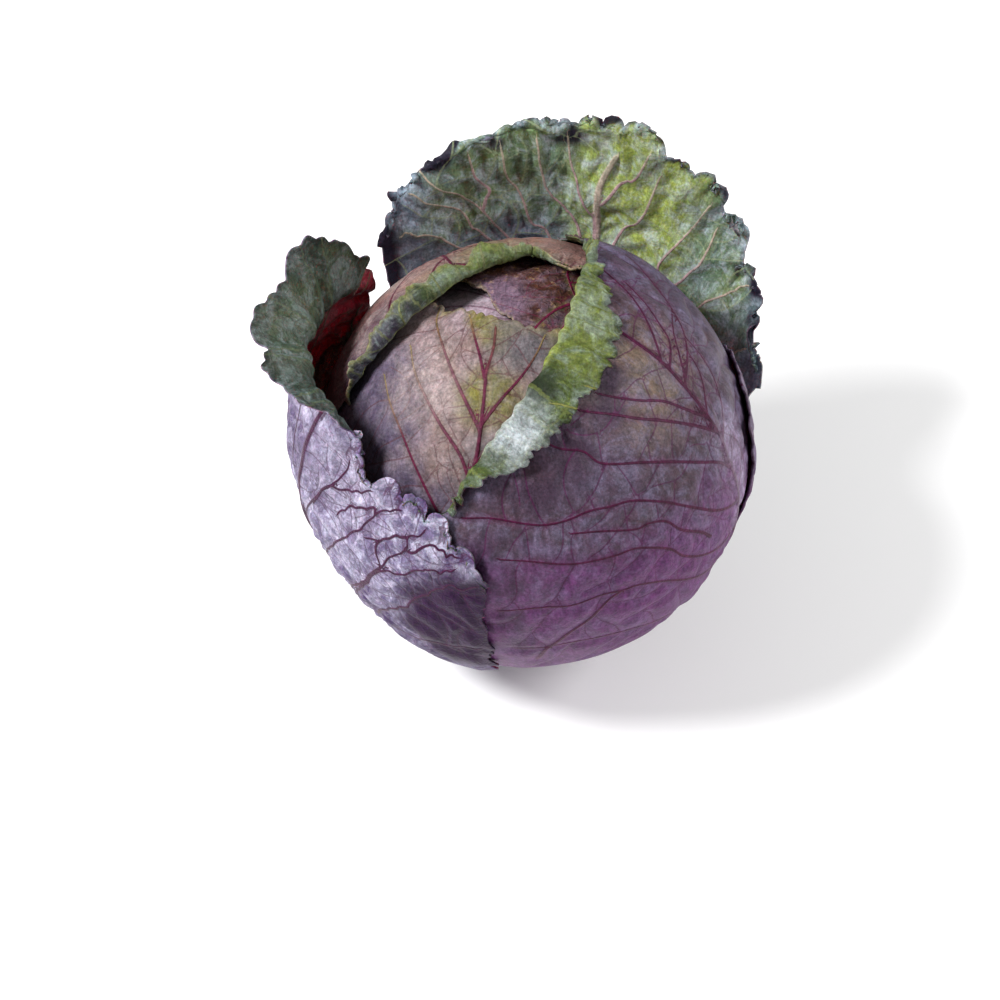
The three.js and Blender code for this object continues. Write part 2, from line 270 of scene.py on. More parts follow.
class VeinNet:
    """The veins drawn so far, kept in small cubes so that a growing vein can tell when it meets another.
    Each has a rank: "vein" for ribs and side veins, "fine" for the small ones between them."""

    CUBE = 2.0

    def __init__(self):
        self.veins = []
        self.cubes = {}

    def add(self, path, widths, strength, rank="vein", ends_at=1.0):
        path = np.array([tuple(p) for p in path])
        if len(path) > 1:
            share = np.linspace(0, 1, len(path))
            widths = np.interp(share, np.linspace(0, 1, len(widths)), widths)
            self.veins.append((rank, path, widths / 2, np.full(len(path), strength), share * ends_at))
            for p in path:
                self.cubes.setdefault(tuple(np.floor(p / self.CUBE).astype(int)), []).append(p)
        return path

    def meets(self, p, gap):
        x, y, z = (int(np.floor(c / self.CUBE)) for c in p)
        for i in (x - 1, x, x + 1):
            for j in (y - 1, y, y + 1):
                for k in (z - 1, z, z + 1):
                    for q in self.cubes.get((i, j, k), ()):
                        if (q[0] - p[0]) ** 2 + (q[1] - p[1]) ** 2 + (q[2] - p[2]) ** 2 < gap * gap:
                            return True
        return False


def grow(surface, net, start, heading, length, turn, wander, random):
    """A vein that creeps over the leaf from a point, turns a little at each step, and stops at another."""
    p, ahead = Vector(start), Vector(heading)
    path = [p.copy()]
    drift = 0.0
    for step in range(int(length / VEIN_STEP)):
        near, out, _ = surface.at(p)
        drift = 0.8 * drift + wander * random.normal()
        ahead = Matrix.Rotation(np.radians(turn + drift), 3, out) @ ahead
        ahead = (ahead - out * ahead.dot(out)).normalized()
        p = p + ahead * VEIN_STEP
        near, out, at_edge = surface.at(p)
        p = p - out * (p - near).dot(out)
        path.append(p.copy())
        if at_edge or (step > 3 and net.meets(p, VEIN_GAP)):
            break
    return path


def branch(
    surface, net, parent, place, side, angle, length, turn, wander, random, widths, strength, rank="vein"
):
    """A vein that leaves a parent vein on one side at a place counted in steps along it."""
    k = int(np.clip(place, 1, len(parent) - 2))
    start = Vector(parent[k])
    along = (Vector(parent[k + 1]) - Vector(parent[k - 1])).normalized()
    _, out, _ = surface.at(start)
    heading = Matrix.Rotation(np.radians(side * angle), 3, out) @ along
    first = start + heading * CLEAR_OF_PARENT
    path = grow(surface, net, first, heading, length, -side * turn, wander, random)
    return net.add([start] + path, widths, strength, rank)


def fill_with_small_veins(surface, net, parents, spacing, random, strength):
    """Small veins that bridge between the side veins."""
    for vein in parents:
        for side in (-1, 1):
            places = np.arange(random.uniform(2, 8), len(vein) - 3, spacing / VEIN_STEP)
            for place in places + random.uniform(-0.3, 0.3, len(places)) * spacing / VEIN_STEP:
                angle = random.uniform(48, 82)
                turn = random.uniform(-0.8, 1.2)
                branch(
                    surface, net, vein, place, side, angle, SMALL_VEIN_LENGTH, turn, 1.6, random,
                    SMALL_VEIN_WIDTHS, strength, "fine",
                )


def cross_the_roll(surface, net, spacing, strength, random):
    """Small veins that run on over the rolled margin to its free edge."""
    grid = surface.points.reshape(surface.grid + (3,))
    lengths = lengths_along(grid[:, surface.down - 1])
    for place in np.arange(spacing, lengths[-1] - spacing, spacing):
        i = int(np.interp(place + random.uniform(-0.5, 0.5) * spacing, lengths, np.arange(len(lengths))))
        rows = np.arange(surface.down - 3, grid.shape[1])
        drift = np.cumsum(random.normal(0, 0.25, len(rows)))
        drift = drift + random.uniform(-0.15, 0.15) * np.arange(len(rows))
        columns = np.clip(np.round(i + drift).astype(int), 0, len(grid) - 1)
        net.add(grid[columns, rows], (1.0, 0.5), strength, "fine")


def drawn_vein(surface, angles, radius):
    """A vein through given azimuths and latitudes, laid on the leaf."""
    way = direction(*np.array(angles, float).T)
    lengths = lengths_along(way) * radius
    samples = np.arange(0, lengths[-1], VEIN_STEP)
    rows = np.column_stack([lengths, way])
    path = CENTRE + unit(smooth_row(rows, samples)) * radius
    laid = []
    for p in path:
        near, out, _ = surface.at(p)
        laid.append(np.array(Vector(p) - out * (Vector(p) - near).dot(out)))
    return np.array(laid)


def traced_vein(surface, places):
    """A vein through given places on the leaf: shares of the way along its margin and up from its stem."""
    rows = np.column_stack([np.arange(len(places)), places])
    u, t = smooth_row(rows, np.linspace(0, len(places) - 1, 30 * len(places))).T
    grid = surface.points.reshape(surface.grid + (3,))
    i = np.clip(u * (surface.grid[0] - 1), 0, surface.grid[0] - 1.001)
    j = np.clip(t * (surface.down - 1), 0, surface.down - 1.001)
    a, b = i.astype(int), j.astype(int)
    f, g = (i - a)[:, None], (j - b)[:, None]
    line = (grid[a, b] * (1 - f) + grid[a + 1, b] * f) * (1 - g)
    line = line + (grid[a, b + 1] * (1 - f) + grid[a + 1, b + 1] * f) * g
    lengths = lengths_along(line)
    samples = np.arange(0, lengths[-1], VEIN_STEP)
    return np.stack([np.interp(samples, lengths, line[:, k]) for k in range(3)], axis=1)


def vein_masks(surface, net):
    """For each point and each rank of vein: signed way across the nearest one, distance to it, half its
    width, its strength, and how far along it that is."""
    masks = {}
    for rank in ("vein", "fine"):
        veins = [v[1:] for v in net.veins if v[0] == rank]
        path, half, strength, share = (np.concatenate([v[k] for v in veins]) for k in range(4))
        ahead = np.concatenate([np.gradient(v[0], axis=0) for v in veins])
        tree = KDTree(len(path))
        for i, p in enumerate(path):
            tree.insert(p, i)
        tree.balance()
        nearest = np.array([tree.find(p)[1] for p in surface.points])
        apart = surface.points - path[nearest]
        along = unit(ahead[nearest])
        past = (apart * along).sum(axis=1)
        across = np.linalg.norm(apart - along * past[:, None], axis=1)
        distance = np.hypot(across, np.maximum(0, np.abs(past) - 0.6 * VEIN_STEP))
        side = np.sign((np.cross(along, surface.normals) * apart).sum(axis=1))
        beyond = np.maximum(0, MASK_REACH - (distance - MASK_REACH) * 0.7)
        fading = np.where(distance < MASK_REACH, distance, beyond)
        masks[rank + "_across"] = side * fading
        masks[rank + "_distance"] = distance
        masks[rank + "_half_width"] = half[nearest]
        masks[rank + "_strength"] = strength[nearest]
        masks[rank + "_along"] = share[nearest]
    return masks


# A leaf's margin runs from its left foot round to its right foot, seen from outside, as rows of azimuth,
# latitude and, where they aren't the least, rise over the leaf's radius, width of the rolled part and
# degrees that it turns.
LEAST_ROLL = 2.0
FULL_ROLL = 7
SHORT_OF_MARGIN = 0.02
GAP_AT_STEM = 0.7
PUFF_REACH = 3.2
RIDGE_LIMIT = 1.4


def margin_rows(leaf):
    full = np.array([list(row) + [0, LEAST_ROLL, 0][len(row) - 2 :] for row in leaf["margin"]], float)
    full[:, 2] += leaf["radius"]
    way = direction(full[:, 0], full[:, 1])
    lengths = lengths_along(way * full[:, 2:3])
    return np.column_stack([lengths / lengths[-1], way, full[:, 2:]]), lengths[-1]


def blade_points(leaf, rows, u, t):
    """The leaf's outer face without its roll, for u from 0 to 1 along the margin and t from 0 at the stem."""
    u, t = np.broadcast_arrays(u, t)
    row = smooth_row(rows, u.ravel()).reshape(u.shape + (-1,))
    margin = unit(row[..., 0:3])
    foot_rise, foot_from, foot_to = leaf["foot"]
    foot_distance = leaf["radius"] + foot_rise
    low = -np.degrees(np.arccos((STEM_RADIUS + GAP_AT_STEM) / foot_distance))
    foot = direction(foot_from + (foot_to - foot_from) * u, low)
    half_way = low + np.degrees(np.arccos(np.clip((foot * margin).sum(axis=-1), -1, 1))) / 2
    waist_from, waist_to = leaf["waist"]
    waist = direction(waist_from + (waist_to - waist_from) * u, half_way)
    t = t[..., None]
    d = unit(2 * (t - 0.5) * (t - 1) * foot - 4 * t * (t - 1) * waist + 2 * t * (t - 0.5) * margin)
    stand = leaf.get("stand_off", 0)
    flare = (row[..., 3:4] - foot_distance - stand) * t ** leaf["flare_power"]
    distance = foot_distance + stand * (1 - (1 - t) ** 4) + flare
    return d * distance * head_form(d)[..., None]


def frill(along, sizes, random):
    """How far a margin reaches in and out, in millimetres, from scallops of several sizes."""
    reach = np.zeros_like(along)
    for length, depth in sizes:
        stretched = along + 0.35 * length * np.sin(2 * np.pi * along / (length * 3.7) + random.uniform(0, 6))
        scallop = np.abs(np.sin(np.pi * stretched / length + random.uniform(0, 6)))
        reach += depth * (scallop - 0.6)
    return reach


def leaf_points(leaf):
    """The leaf's outer face on a fine grid, with its frilled and rolled margin, and where each point lies."""
    rows, margin_length = margin_rows(leaf)
    across, down, in_roll = leaf["cells"]
    random = np.random.default_rng(leaf["seed"])
    u = np.linspace(0, 1, across + 1)
    t = np.linspace(0, 1, down + 1)
    reach = frill(u * margin_length, leaf["frill"], random) * np.minimum(1, 12 * np.minimum(u, 1 - u))
    margin = blade_points(leaf, rows, u, np.full_like(u, 1.0))
    before_margin = blade_points(leaf, rows, u, np.full_like(u, 1 - SHORT_OF_MARGIN))
    per_millimetre = SHORT_OF_MARGIN / np.linalg.norm(margin - before_margin, axis=1)
    width, turn = smooth_row(rows, u)[:, 4:6].T
    unrolled = np.clip((FULL_ROLL - width) / 4, 0, 1) if in_roll else 1
    stretch = reach * per_millimetre * unrolled
    far = t[None, :] + stretch[:, None] * t[None, :] ** 6
    torn = leaf.get("side", 0) * (0.6 + frill(t * 130, ((21, 0.6), (8, 0.4)), random))
    torn = torn * np.minimum(1, 8 * (1 - t))
    narrowed = 0.5 + (u[:, None] - 0.5) * (1 - torn[None, :])
    points = blade_points(leaf, rows, narrowed, far)
    rolled = np.zeros(points.shape[:2])
    if in_roll:
        edge = points[:, -1]
        onwards = unit(edge - blade_points(leaf, rows, u, np.full_like(u, 0.985)))
        sideways = unit(np.gradient(edge, axis=0))
        onwards = unit(onwards - sideways * (onwards * sideways).sum(axis=1, keepdims=True))
        outwards = np.cross(sideways, onwards)
        outwards = outwards * np.sign((outwards * edge).sum(axis=1, keepdims=True))
        width = np.maximum(width + reach, LEAST_ROLL * 0.6)
        bend = leaf["bend"]
        share = (np.arange(1, in_roll + 1) / in_roll) ** 1.4
        along = width[:, None] * share[None, :]
        turned = np.minimum(along / bend, np.radians(np.maximum(turn, 0))[:, None])
        straight = np.maximum(0, along - turned * bend)
        ruffles = buckles(edge, leaf["ruffle_size"], leaf["seed"] + 5)[:, None] * leaf["ruffle"] * share
        ruffles = ruffles * np.clip(width / 8, 0, 1)[:, None]
        ahead = bend * np.sin(turned) + straight * np.cos(turned)
        up = bend * (1 - np.cos(turned)) + straight * np.sin(turned) + ruffles
        roll = edge[:, None] + onwards[:, None] * ahead[..., None] + outwards[:, None] * up[..., None]
        points = np.concatenate([points, roll], axis=1)
        rolled = np.concatenate([rolled, np.broadcast_to(share, along.shape)], axis=1)
    t_all = np.concatenate([t, np.ones(points.shape[1] - len(t))])
    way = unit(points)
    dents = buckles(way * HEAD_RADIUS, DENT_SIZE, DENT_SEED) * DENT_DEPTH
    if "wave" in leaf:
        height, size = leaf["wave"]
        dents = dents + height * buckles(points, size, leaf["seed"] + 9) * t_all**7
    points = points + grid_normals(points) * dents[..., None]
    return CENTRE + points, t_all, rolled, u


def leaf_shell(points, relief):
    """A closed sheet: the outer face with raised veins, the inner one with them a little sunk, the rim."""
    normals = grid_normals(points)
    outer = points + normals * relief[..., None]
    inner = points - normals * (LEAF_THICKNESS + 0.25 * relief)[..., None]
    across, down = points.shape[:2]
    count = across * down
    index = np.arange(count).reshape(across, down)
    a, b, c, d = index[:-1, :-1], index[1:, :-1], index[1:, 1:], index[:-1, 1:]
    front = np.stack([a, b, c, d], axis=-1).reshape(-1, 4)
    back = np.stack([a, d, c, b], axis=-1).reshape(-1, 4) + count
    rim = np.concatenate([index[:-1, 0], index[-1, :-1], index[:0:-1, -1], index[0, :0:-1]])
    after = np.roll(rim, -1)
    sides = np.stack([rim, rim + count, after + count, after], axis=-1)
    faces = np.concatenate([front, back, sides]).tolist()
    return np.concatenate([outer.reshape(-1, 3), inner.reshape(-1, 3)]), faces


def make_leaf(leaf, draw_veins, material, node, slot, own_masks):
    """One leaf as a mesh: its surface, the veins raised from it, and the masks that its material reads."""
    points, t, rolled, u = leaf_points(leaf)
    surface = LeafSurface(points, leaf["cells"][1] + 1)
    net = VeinNet()
    draw_veins(surface, net, np.random.default_rng(leaf["seed"] + 1))
    masks = vein_masks(surface, net)
    apart = np.minimum(masks["vein_distance"], masks["fine_distance"] + 0.7)
    # Puffs and ridges die out towards the sides of the leaf, and puffs towards its foot.
    fade = np.minimum(1, 25 * np.minimum(u, 1 - u))[:, None] * np.minimum(1, 6 * t)[None, :]
    puff = leaf["puff"] * (1 - np.exp(-((apart / PUFF_REACH) ** 2))).reshape(points.shape[:2]) * fade
    points = points + grid_normals(points) * puff[..., None]
    half = masks["vein_half_width"]
    ridge = np.exp(-((masks["vein_distance"] / (half * 1.2 + 0.35)) ** 2)) * masks["vein_strength"]
    relief = (ridge * np.minimum(0.75 * half + 0.1, RIDGE_LIMIT)).reshape(points.shape[:2])
    relief *= np.minimum(1, 40 * np.minimum(u, 1 - u))[:, None]
    shell, faces = leaf_shell(points, relief)
    steps = np.linalg.norm(np.diff(points, axis=1), axis=-1)
    to_margin = np.zeros(points.shape[:2])
    to_margin[:, :-1] = np.cumsum(steps[:, ::-1], axis=1)[:, ::-1]
    masks["to_margin"] = to_margin.ravel()
    masks["along_margin"] = np.repeat(u * margin_rows(leaf)[1], points.shape[1])
    well_rolled = to_margin[:, leaf["cells"][1], None] > 6
    masks["crease"] = (np.exp(-(((rolled - 0.1) / 0.09) ** 2)) * well_rolled).ravel()
    masks.update({key: value.ravel() for key, value in own_masks(points - CENTRE, u, t).items()})
    masks = {key: np.concatenate([value, value]) for key, value in masks.items()}
    masks["inner_face"] = np.repeat([0.0, 1.0], t.size * u.size)
    add_piece(leaf["name"], shell, faces, material, node, slot, masks)


# The sizes of what the skin of a cabbage leaf shows, in millimetres, and how its wax shines. The smallest net
# of veins and the grain of the skin are finer on a real leaf. They are drawn as coarse as they need to show.
PATCH_SIZE = 22.0
MOTTLE_SIZE = 3.2
BLOOM_SIZE = 9.0
NET_CELL = 3.4
GRAIN_SIZE = 1.1
FIBRE_WIDTH = 1.5
FIBRE_LENGTH = 7.0
WAX_ROUGHNESS = 0.42
WAX_SPECULAR = 0.14
SKIN_RELIEF = 0.6


def leaf_skin(name, outer, inner, bloom, net_shows=0.15, speckled=0.25, glow_through=0.12):
    """Living leaf skin: pigment in soft patches under a thin wax bloom that scatters the light, a net of fine
    veins, and ribs of another colour. On some leaves its layers also hold painted shade, painted highlights
    and the painted red of light through the leaf. The two faces differ, so each has its own set of colours."""
    material, tree, shader = new_material(name)
    field = {
        key: add_node(tree, "ShaderNodeAttribute", {"attribute_name": key}).outputs["Fac"]
        for key in (
            "vein_across", "vein_distance", "vein_half_width", "vein_strength", "vein_along",
            "fine_across", "fine_distance", "fine_half_width", "fine_strength",
            "to_margin", "along_margin", "inner_face", "tone", "flush_and_shade", "dark_tint_and_shade", "highlight_and_bloom", "crease",
        )
    }
    place = add_node(tree, "ShaderNodeTexCoord").outputs["Object"]
    # The leaf's fibres run in from its margin, so their noise is measured along the margin and in from it.
    on_leaf = add_node(tree, "ShaderNodeCombineXYZ", {"X": field["along_margin"], "Y": field["to_margin"]})
    fibre_scale = (1 / FIBRE_WIDTH, 1 / FIBRE_LENGTH, 0)
    on_fibres = add_node(tree, "ShaderNodeVectorMath", {"operation": "MULTIPLY", 0: on_leaf, 1: fibre_scale})
    for key, vector, scale, detail, roughness, distortion in (
        ("patches", place, 1 / (PATCH_SIZE * MM), 5.0, 0.6, 0.0),
        ("mottle", place, 1 / (MOTTLE_SIZE * MM), 7.0, 0.65, 0.0),
        ("wax", place, 1 / (BLOOM_SIZE * MM), 10.0, 0.74, 0.8),
        ("grains", place, 1 / (GRAIN_SIZE * MM), 3.0, 0.7, 0.0),
        ("fibres", on_fibres, 1.0, 4.0, 0.6, 0.0),
    ):
        settings = {"Scale": scale, "Detail": detail, "Roughness": roughness, "Distortion": distortion}
        field[key] = add_node(tree, "ShaderNodeTexNoise", settings | {"Vector": vector})
    settings = {"feature": "DISTANCE_TO_EDGE", "Scale": 1 / (NET_CELL * MM), "Vector": place}
    field["cells"] = add_node(tree, "ShaderNodeTexVoronoi", settings)

    # Each row names a new field and says how it is worked out from fields that are there already.
    for key, operation, *terms in (
        ("fine_off", "ABSOLUTE", "fine_across"),
        ("fine_ratio", "DIVIDE", "fine_off", "fine_half_width"),
        ("fine_gap", "SUBTRACT", "fine_distance", "fine_half_width"),
        ("vein_off", "ABSOLUTE", "vein_across"),
        ("vein_ratio", "DIVIDE", "vein_off", "vein_half_width"),
        ("vein_gap", "SUBTRACT", "vein_distance", "vein_half_width"),
        ("ragged", "MULTIPLY_ADD", "patches", 9.0, -4.5),
        ("from_margin", "ADD", "to_margin", "ragged"),
        ("uneven", "MULTIPLY_ADD", "patches", 1.2, -0.6),
        ("tone_here", "ADD", "tone", "uneven"),
        ("flush_and_shade_here", "ADD", "flush_and_shade", "uneven"),
        ("dark_tint_and_shade_here", "ADD", "dark_tint_and_shade", "uneven"),
    ):
        inputs = {i: field.get(term, term) for i, term in enumerate(terms)}
        field[key] = add_node(tree, "ShaderNodeMath", {"operation": operation} | inputs)
    for key, value, low, high, at_low, at_high, rise in (
        ("patch", "patches", 0.38, 0.62, 0.0, 1.0, "LINEAR"),
        ("speckle", "mottle", 0.56, 0.74, 0.0, speckled, "LINEAR"),
        ("net", "cells", 0.02, 0.11, net_shows, 0.0, "LINEAR"),
        ("fine_core", "fine_ratio", 0.55, 1.3, 1.0, 0.0, "SMOOTHSTEP"),
        ("fine_near", "fine_gap", 0.7, 1.3, 1.0, 0.0, "LINEAR"),
        ("vein_core", "vein_ratio", 0.55, 1.3, 1.0, 0.0, "SMOOTHSTEP"),
        ("vein_near", "vein_gap", 0.7, 1.3, 1.0, 0.0, "LINEAR"),
        ("beside_vein", "vein_gap", 0.0, 2.6, 0.45, 0.0, "SMOOTHSTEP"),
        ("towards_tip", "vein_along", 0.6, 1.0, 0.0, 0.85, "LINEAR"),
        ("margin", "from_margin", 0.0, 3.2, 0.9, 0.0, "SMOOTHSTEP"),
        ("toned", "tone_here", 0.15, 0.85, 0.0, 1.0, "SMOOTHSTEP"),
        ("flush_and_shade_share", "flush_and_shade_here", 0.15, 0.85, 0.0, 1.0, "SMOOTHSTEP"),
        ("dark_tint_and_shade_share", "dark_tint_and_shade_here", 0.15, 0.85, 0.0, 1.0, "SMOOTHSTEP"),
        ("bloom", "wax", 0.42, 0.64, 0.0, bloom, "SMOOTHSTEP"),
        ("wax_left", "wax", 0.4, 0.6, 0.35, 1.0, "LINEAR"),
        ("dull", "wax", 0.3, 0.7, WAX_ROUGHNESS - 0.08, WAX_ROUGHNESS + 0.16, "LINEAR"),
        ("grain", "grains", 0.32, 0.68, 0.66, 1.3, "LINEAR"),
        ("cloud", "mottle", 0.35, 0.65, 0.8, 1.2, "LINEAR"),
        ("fibre", "fibres", 0.34, 0.66, 0.78, 1.22, "LINEAR"),
    ):
        settings = {"From Min": low, "From Max": high, "To Min": at_low, "To Max": at_high}
        settings |= {"interpolation_type": rise, "Value": field[value]}
        field[key] = add_node(tree, "ShaderNodeMapRange", settings)
    for key, operation, *terms in (
        ("fine_line", "MULTIPLY", "fine_core", "fine_near"),
        ("fine", "MULTIPLY", "fine_line", "fine_strength"),
        ("vein_line", "MULTIPLY", "vein_core", "vein_near"),
        ("vein", "MULTIPLY", "vein_line", "vein_strength"),
        ("vein_tip", "MULTIPLY", "vein", "towards_tip"),
        ("halo", "MULTIPLY", "beside_vein", "vein_strength"),
        ("creased", "MULTIPLY", "crease", 0.8),
        ("washed", "MULTIPLY", "toned", 0.45),
        ("highlight_and_bloom_share", "MULTIPLY", "wax_left", "highlight_and_bloom"),
        ("clouded", "MULTIPLY", "grain", "cloud"),
        ("shade", "MULTIPLY", "clouded", "fibre"),
        ("mottled_vein", "MULTIPLY_ADD", "mottle", 1.3, "vein"),
        ("height", "MULTIPLY_ADD", "net", 0.8, "mottled_vein"),
    ):
        inputs = {i: field.get(term, term) for i, term in enumerate(terms)}
        field[key] = add_node(tree, "ShaderNodeMath", {"operation": operation} | inputs)

    # Each face has its colours laid over each other in the order of these rows, by the field that comes first.
    # On some leaves the dark and pale layers are painted shade and painted highlights, as each leaf's masks
    # say.
    faces = []
    for own in (outer, inner):
        usual = {"crease": own["base"], "dark_tint_and_shade": own["net"], "vein_tip": own["vein"], "fine": own["vein"]}
        colours = usual | {"highlight_and_bloom": "#B9B3C2"} | own
        so_far = colour(colours["base"])
        for share, key in (
            ("patch", "patch"), ("toned", "tone"), ("flush_and_shade_share", "flush_and_shade"), ("margin", "margin"), ("net", "net"),
            ("halo", "halo"), ("speckle", "speckle"), ("creased", "crease"), ("bloom", "bloom"),
            ("washed", "tone"), ("dark_tint_and_shade_share", "dark_tint_and_shade"), ("fine", "fine"), ("vein", "vein"),
            ("vein_tip", "vein_tip"), ("highlight_and_bloom_share", "highlight_and_bloom"),
        ):
            settings = {"data_type": "RGBA", 0: field[share], 6: so_far, 7: colour(colours[key])}
            so_far = add_node(tree, "ShaderNodeMix", settings).outputs[2]
        faces.append(so_far)
    settings = {"data_type": "RGBA", 0: field["inner_face"], 6: faces[0], 7: faces[1]}
    skin = add_node(tree, "ShaderNodeMix", settings).outputs[2]
    shaded = add_node(tree, "ShaderNodeVectorMath", {"operation": "SCALE", 0: skin, "Scale": field["shade"]})
    settings = {"Strength": 0.65, "Distance": SKIN_RELIEF * MM, "Height": field["height"]}
    bump = add_node(tree, "ShaderNodeBump", settings)
    tree.links.new(shaded.outputs[0], shader.inputs["Base Color"])
    tree.links.new(field["dull"].outputs[0], shader.inputs["Roughness"])
    tree.links.new(bump.outputs[0], shader.inputs["Normal"])
    shader.inputs["Specular IOR Level"].default_value = WAX_SPECULAR
    shader.inputs["Subsurface Weight"].default_value = glow_through
    shader.inputs["Subsurface Radius"].default_value = (3.0, 0.8, 1.0)
    shader.inputs["Subsurface Scale"].default_value = 1.0 * MM
    return material


def around(points, azimuth, latitude, reach):
    """1 near a place on the head, falling to 0 at this many degrees from it."""
    apart = np.degrees(np.arccos(np.clip(unit(points) @ direction(azimuth, latitude), -1, 1)))
    return np.clip(1 - apart / reach, 0, 1)


def rib_and_sides(rib_width, sides, spacing, angle, turn, small=12.0, shows=0.4, over_roll=None):
    """How a plain leaf is veined: a rib up the middle, side veins that part from it, small ones between."""

    def draw(surface, net, random):
        middle = (surface.grid[0] - 1) // 2
        line = surface.points.reshape(surface.grid + (3,))[middle, : surface.down]
        lengths = lengths_along(line)
        samples = np.arange(0, lengths[-1] - 1, VEIN_STEP)
        rib = np.stack([np.interp(samples, lengths, line[:, k]) for k in range(3)], axis=1)
        net.add(rib, (rib_width, 1.0), 1.0)
        made = [rib]
        for side in (-1, 1):
            first = spacing * (0.9 + 0.25 * side)
            places = np.arange(first, lengths[-1] - 6, spacing) / VEIN_STEP
            for place in places + random.uniform(-0.15, 0.15, len(places)) * spacing / VEIN_STEP:
                leaving = angle + random.uniform(-8, 8)
                way = (surface, net, rib, place, side, leaving, sides, turn, 0.7, random)
                made.append(branch(*way, (1.5, 0.6), 0.95))
        fill_with_small_veins(surface, net, made, small, random, shows)
        if over_roll:
            cross_the_roll(surface, net, over_roll, 0.6, random)

    return draw


def heart_mesh():
    """Rings from the bottom of the ball to its crown."""
    count = 144
    azimuth = np.arange(count) * 360 / count
    latitudes = np.arange(-87.5, 88, 2.5)
    d = direction(azimuth[None, :], latitudes[:, None])
    points = d * HEART_RADIUS * head_form(d)[..., None]
    points = points + d * (DENT_DEPTH * buckles(d * HEAD_RADIUS, DENT_SIZE, DENT_SEED))[..., None]
    ends = np.array([[0, 0, -HEART_RADIUS], [0, 0, HEART_RADIUS * (1 - TOP_FLATTENING)]])
    return CENTRE + np.concatenate([points.reshape(-1, 3), ends]), ring_faces(len(latitudes), count)


def heart_masks(points):
    """The innermost visible leaf has plain, faint veins that run up it like meridians."""
    d = unit(points - CENTRE)
    azimuth = np.arctan2(d[:, 0], -d[:, 1])
    shrink = HEART_RADIUS * np.sqrt(1 - np.clip(d[:, 2], -0.99, 0.99) ** 2)
    spacing = 2 * np.pi / 22
    across = (np.mod(azimuth + 0.1 * np.sin(6 * d[:, 2]), spacing) - spacing / 2) * shrink
    nothing = np.zeros(len(points))
    return {
        "vein_across": np.clip(across, -MASK_REACH, MASK_REACH),
        "vein_distance": np.abs(across),
        "vein_half_width": nothing + 0.5,
        "vein_strength": nothing + 0.5,
        "to_margin": nothing + 60,
        "fine_distance": nothing + 9,
        "fine_half_width": nothing + 0.5,
    }


heart_colours = dict(
    base="#A08A98", patch="#AC9AA2", tone="#6E5C70", flush_and_shade="#98868E", margin="#8C7484",
    net="#6A5468", halo="#8E7484", speckle="#5E4A5E", bloom="#B9ACBA", vein="#5E2444",
)
heart_points, heart_faces = heart_mesh()
add_piece(
    "heart_leaves",
    heart_points,
    heart_faces,
    leaf_skin("inner_leaf_skin", heart_colours, heart_colours, bloom=0.35),
    "heart",
    "inner_leaf",
    heart_masks(heart_points),
)

# The crown leaf
# One of the last leaves to show, brown and blotched where it has rubbed. It comes up from behind and its
# tip lies over the crown, under the leaves round it.
CROWN_RADIUS = layer_radius(3)
crown_leaf = dict(
    name="crown_leaf_blade",
    seed=11,
    radius=CROWN_RADIUS,
    foot=(0, 120, 200),
    waist=(96, 214),
    margin=[
        (88, 25), (80, 50), (62, 68), (20, 76), (-30, 82), (-77, 84), (-107, 80), (-121, 77), (-131, 73),
        (-134, 65), (-137, 45),
    ],
    flare_power=4,
    frill=((13, 1.6), (5, 0.9)),
    puff=0.9,
    cells=(210, 150, 0),
)
crown_colours = dict(
    base="#371C1A", patch="#523420", tone="#645060", flush_and_shade="#301C28", margin="#948A5E",
    net="#1E1016", halo="#5A5830", speckle="#9A7C48", bloom="#7A6676", vein="#5A0E30",
)


def crown_masks(points, u, t):
    return {"tone": around(points, -122, 76, 16) * 1.5, "flush_and_shade": around(points, 60, 76, 24)}


make_leaf(
    crown_leaf,
    rib_and_sides(3.0, 90, 15, 48, 1.2, small=9.0),
    leaf_skin("rubbed_leaf_skin", crown_colours, crown_colours, bloom=0.45, net_shows=0.45, speckled=0.8),
    "crown_leaf",
    "crown_leaf",
    crown_masks,
)

# The front leaf
# The pinkish leaf that fills the opening between the two rolled margins. Its rib climbs it towards the left
# of the crown, yellow-green to each side, and wine-red veins part from it.
FRONT_RADIUS = layer_radius(2)
front_leaf = dict(
    name="front_leaf_blade",
    seed=23,
    radius=FRONT_RADIUS,
    foot=(0, -62, 22),
    waist=(-100, 52),
    margin=[
        (-114, 46), (-108, 62), (-101, 67), (-97, 74), (-80, 80), (-45, 84), (10, 84), (46, 81), (62, 72),
    ],
    flare_power=4,
    frill=((17, 1.6), (6, 1.3)),
    puff=1.2,
    cells=(250, 180, 0),
)
FRONT_RIB = [
    (-21, -66), (-21, -30), (-21, 10), (-21, 30), (-21, 44), (-22, 49.5), (-26.5, 60), (-33, 67), (-41, 74),
    (-62, 79),
]
FRONT_SIDE_VEINS = [
    [(-21, 20), (-32, 30), (-41.5, 36), (-53, 41), (-66, 43.5), (-78, 45)],
    [(-21, 38), (-27, 44), (-40, 49), (-52, 52), (-68, 54), (-84, 55)],
    [(-23, 52), (-36, 58), (-52, 62), (-74, 64), (-95, 63), (-105, 63)],
    [(-29, 64), (-45, 70), (-70, 73), (-92, 73)],
    [(-21, 28), (-10, 36), (2, 44), (12, 50)],
    [(-21, 42), (-12, 49), (0, 57), (14, 63)],
    [(-23, 54), (-17, 62), (-8, 69), (5, 76), (22, 81)],
    [(-21, 6), (-34, 14), (-50, 21), (-68, 26)],
    [(-21, 10), (-8, 20), (6, 28), (20, 34)],
]
front_colours = dict(
    base="#74605A", patch="#867378", tone="#4E4458", flush_and_shade="#66622A", margin="#7A7048",
    net="#4A3634", halo="#5E4A3C", speckle="#402A26", bloom="#948A90", vein="#4E0C2C",
    vein_tip="#807448", fine="#4C2A30", dark_tint_and_shade="#5A5458", highlight_and_bloom="#AC9A94",
)


